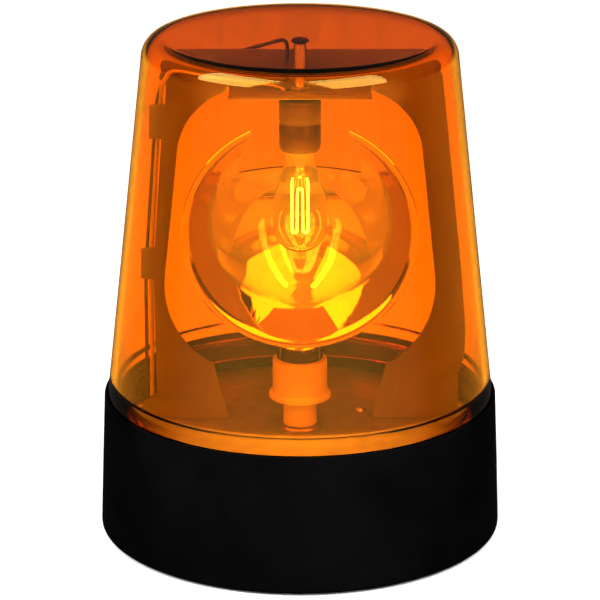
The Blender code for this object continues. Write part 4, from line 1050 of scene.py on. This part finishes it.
block_low, block_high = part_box("terminal_block")
terminal = block(block_low, block_high)
terminal.name = "terminal_strip"
terminal.data.name = "terminal_strip"
for i in range(3):
    x = block_low[0] + 0.0029 + 0.0060 * i
    cut(terminal, bar(0.0017, (x, 0.0274, 0.0240), (x, 0.0274, 0.0275), 24))
for i in range(2):
    x = block_low[0] + 0.0059 + 0.0060 * i
    cut(terminal, block((x - 0.0003, 0.0200, 0.0240), (x + 0.0003, 0.0350, 0.0262)))
soften(terminal, 0.00025, 2, 50.0)
smooth(terminal)
give(terminal, polyamide(), "terminal_block", slot="terminal_polyamide")


# --- Gear motor ----------------------------------------------------------------------------------
# A small zinc-plated can hangs under the deck on two pillars. Its brass pinion drives the acetal
# gear on the spindle, 12 teeth to 45.
def turned_brass():
    """Turned brass: yellow, with cutting lines about 0.2 mm apart round its axis."""
    mat, place = blank("turned_brass")
    stretch = add(mat, "Mapping", {"Scale": (60.0, 60.0, 5000.0)}, Vector=place)
    lines = add(mat, "TexNoise", {"Scale": 1.0, "Detail": 2.0}, Vector=stretch)
    gloss = add(mat, "MapRange", {"To Min": 0.20, "To Max": 0.38}, Value=lines)
    bump = add(mat, "Bump", {"Strength": 0.08, "Distance": 0.00003}, Height=lines)
    shader = add(mat, "BsdfPrincipled", {"Base Color": shade("#D3AE62"), "Metallic": 1.0},
                 Roughness=gloss, Normal=bump)
    return finish_material(mat, shader)


def acetal():
    """Natural acetal: ivory and waxy, nearly smooth."""
    mat, place = blank("natural_acetal")
    wax = add(mat, "TexNoise", {"Scale": 500.0, "Detail": 3.0}, Vector=place)
    tone = add(mat, "ValToRGB", Fac=wax)
    tone.color_ramp.elements[0].color = shade("#E7E3D4")
    tone.color_ramp.elements[1].color = shade("#F1EEE3")
    bump = add(mat, "Bump", {"Strength": 0.06, "Distance": 0.00004}, Height=wax)
    shader = add(mat, "BsdfPrincipled", {"Roughness": 0.34, "IOR": 1.48},
                 Base_Color=tone, Normal=bump)
    return finish_material(mat, shader)


CAN_ZINC = zinc_plate("motor_can_zinc", "#B9BBBD", 0.36)
BRASS = turned_brass()
ACETAL = acetal()
CAN_CORNER = 0.0012
can_outline = [(0.0, 0.0190), (0.0018, 0.0190), (0.0018, motor_high[2]), (0.0050, motor_high[2])]
can_outline += arc(MOTOR_RADIUS - CAN_CORNER, motor_high[2] - CAN_CORNER, CAN_CORNER, 90, 0, 5)
can_outline += [(MOTOR_RADIUS, 0.0140), (MOTOR_RADIUS - 0.0003, 0.0137), (MOTOR_RADIUS - 0.0003, 0.0131),
                (MOTOR_RADIUS, 0.0128)]
can_outline += arc(MOTOR_RADIUS - CAN_CORNER, motor_low[2] + CAN_CORNER, CAN_CORNER, 0, -90, 5)
can_outline += [(0.0, motor_low[2])]
can = turned("motor_shell", can_outline, 96)
shift(can, (MOTOR_X, 0.0, 0.0))
ear_top = motor_high[2] - 0.0030
ears = block((MOTOR_X - 0.0045, motor_low[1], ear_top - 0.0015),
             (MOTOR_X + 0.0045, motor_high[1], ear_top))
cut(ears, bar(0.0028, (MOTOR_X, 0.0, 0.0190), (MOTOR_X, 0.0, 0.0272)))
cut(can, ears, "UNION")
for y in (-PILLAR_Y, PILLAR_Y):
    cut(can, bar(SCREW_HOLE, (MOTOR_X, y, ear_top - 0.0040), (MOTOR_X, y, ear_top + 0.0010)))
smooth(can)
give(can, CAN_ZINC, "motor_can", slot="motor_zinc")
for number, y in enumerate((-PILLAR_Y, PILLAR_Y), 1):
    low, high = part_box(f"motor_pillar_{number}")
    pillar_outline = bevelled(0.0032, low[2], high[2], 0.0002, SCREW_HOLE)
    pillar = turned(f"pillar_{number}", pillar_outline, 32, closed=True)
    shift(pillar, (MOTOR_X, y, 0.0))
    smooth(pillar)
    give(pillar, ZINC, f"motor_pillar_{number}", slot="screw_steel")
shaft_low, shaft_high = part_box("motor_shaft")
shaft = turned("output_shaft", bevelled(0.0015, shaft_low[2], shaft_high[2]), 32)
shift(shaft, (MOTOR_X, 0.0, 0.0))
smooth(shaft)
give(shaft, ZINC, "motor_shaft", body="motor_rotor", slot="screw_steel")
refinish("motor_pinion", BRASS)
refinish("drive_gear", ACETAL)


# --- Spindle, bush and clip ----------------------------------------------------------------------
# A ground steel spindle turns in a flanged brass bush in the middle of the deck, kept by a clip.
SPINDLE_BORE = 0.0024
spindle_low, spindle_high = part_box("spindle")
spindle = turned("spindle_rod", bevelled(spindle_high[0], spindle_low[2], spindle_high[2]), 48)
smooth(spindle)
give(spindle, ZINC, "spindle", body="reflector", slot="screw_steel")
bush_low, bush_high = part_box("bearing_bush")
bush_radius = bush_high[0]
bush_outline = [(SPINDLE_BORE, bush_high[2]), (bush_radius - 0.0003, bush_high[2]),
                (bush_radius, bush_high[2] - 0.0003),
                (bush_radius, DECK_TOP + 0.0003), (0.0060, DECK_TOP + 0.0003),
                (0.0060, bush_low[2] + 0.0002), (0.0058, bush_low[2]), (SPINDLE_BORE, bush_low[2])]
bush = turned("deck_bush", bush_outline, 64, closed=True)
smooth(bush)
give(bush, BRASS, "bearing_bush", slot="bush_brass")
clip_low, clip_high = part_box("spindle_clip")
clip_outline = [(SPINDLE_BORE, clip_high[2]), (clip_high[0], clip_high[2]), (clip_high[0], clip_low[2]),
                (SPINDLE_BORE, clip_low[2])]
clip = turned("retaining_clip", clip_outline, 48, closed=True)
soften(clip, 0.00012)
smooth(clip)
give(clip, ZINC, "spindle_clip", body="reflector", slot="screw_steel")


# --- Turning reflector ---------------------------------------------------------------------------
# A parabolic bowl moulded in one with its short pedestal and aluminised all over, so it mirrors the
# lamp and the dome. An opening in its upper half lets it turn past the lamp holder.
def aluminised():
    """Vacuum-coated aluminium over plastic: a mirror with a slight waviness, a centimetre long."""
    mat, place = blank("aluminised_mirror")
    sink = add(mat, "TexNoise", {"Scale": 90.0, "Detail": 2.0}, Vector=place)
    haze = add(mat, "TexNoise", {"Scale": 700.0, "Detail": 4.0}, Vector=place)
    gloss = add(mat, "MapRange", {"To Min": 0.015, "To Max": 0.04}, Value=haze)
    bump = add(mat, "Bump", {"Strength": 0.12, "Distance": 0.00025}, Height=sink)
    shader = add(mat, "BsdfPrincipled", {"Base Color": shade("#DEDEDF"), "Metallic": 1.0},
                 Roughness=gloss, Normal=bump)
    return finish_material(mat, shader)


def face_viewer(obj):
    """Tips a piece turned about the upright axis to point forwards at the bowl's height."""
    obj.rotation_euler = (math.pi / 2, 0.0, 0.0)
    shift(obj, (0.0, 0.0, BOWL_CENTRE))
    return obj


def depth(radius):
    """How far the mirror stands in front of its lowest point at a radius."""
    return radius ** 2 / (4 * FOCUS)


BOWL_CENTRE = 0.1170
FOCUS = 0.0149
MOUTH = 0.0412
FLANGE = 0.0435
BOWL_WALL = 0.0012
rings = 28
mirror_line = [(MOUTH * i / rings, depth(MOUTH * i / rings) - FOCUS) for i in range(rings + 1)]
lip = mirror_line[-1][1]
bowl_outline = mirror_line + [(MOUTH + 0.0004, lip + 0.0002), (FLANGE - 0.0003, lip + 0.0002),
                              (FLANGE, lip),
                              (FLANGE, lip - BOWL_WALL + 0.0003), (FLANGE - 0.0003, lip - BOWL_WALL)]
bowl_outline += [(r + 0.0006, z - BOWL_WALL) for r, z in reversed(mirror_line[1:])]
bowl_outline += [(0.0, -FOCUS - BOWL_WALL)]
bowl = face_viewer(turned("mirror_bowl", bowl_outline, 160))
pedestal_foot = 0.0658
pedestal = bar(0.0088, (0.0, 0.0, pedestal_foot), (0.0, 0.0, 0.1000), 96)
reach = MOUTH + 0.0100
hollow_outline = [(0.0, 0.0500), (reach, 0.0500)]
for i in range(rings, 0, -1):
    radius = reach * i / rings
    hollow_outline.append((radius, depth(radius) - FOCUS - BOWL_WALL / 2))
hollow_outline += [(0.0, -FOCUS - BOWL_WALL / 2)]
cut(pedestal, face_viewer(turned("bowl_space", hollow_outline, 160)))
cut(bowl, pedestal, "UNION")
OPENING_RADIUS = 0.0225
OPENING_FOOT = 0.1370
cut(bowl, bar(OPENING_RADIUS, (0.0, 0.0, OPENING_FOOT), (0.0, 0.0, 0.1800), 96))
PIN_SPREAD = 0.0055
for x in (-PIN_SPREAD, PIN_SPREAD):
    cut(bowl, bar(0.0014, (x, 0.0, 0.0600), (x, 0.0, 0.0695), 24))
smooth(bowl)
give(bowl, aluminised(), "reflector_bowl", body="reflector", slot="mirror_finish")


# --- Reflector hub -------------------------------------------------------------------------------
# A turned hub in pale acetal, pressed on the spindle. It stands on a narrow neck under a flange, and
# two pins on its top key it to the bowl.
hub_low, hub_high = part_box("reflector_hub")
HUB_TOP = 0.0655
HUB_RADIUS = 0.0102
hub_outline = [(0.0, HUB_TOP), (HUB_RADIUS - 0.0008, HUB_TOP), (HUB_RADIUS - 0.0002, HUB_TOP - 0.0003),
               (HUB_RADIUS, HUB_TOP - 0.0008), (HUB_RADIUS, 0.0526), (HUB_RADIUS + 0.0004, 0.0522),
               (HUB_RADIUS + 0.0012, 0.0520), (HUB_RADIUS + 0.0014, 0.0518),
               (HUB_RADIUS + 0.0014, 0.0504),
               (HUB_RADIUS + 0.0012, 0.0502), (0.0068, 0.0497), (0.0062, 0.0492),
               (0.0062, hub_low[2] + 0.0003),
               (0.0059, hub_low[2]), (SPINDLE_BORE, hub_low[2]), (SPINDLE_BORE, 0.0620), (0.0, 0.0620)]
hub = turned("hub_boss", hub_outline, 96)
for x in (-PIN_SPREAD, PIN_SPREAD):
    cut(hub, bar(0.0011, (x, 0.0, HUB_TOP - 0.0020), (x, 0.0, hub_high[2]), 24), "UNION")
smooth(hub)
give(hub, ACETAL, "reflector_hub", body="reflector", slot="hub_plastic")
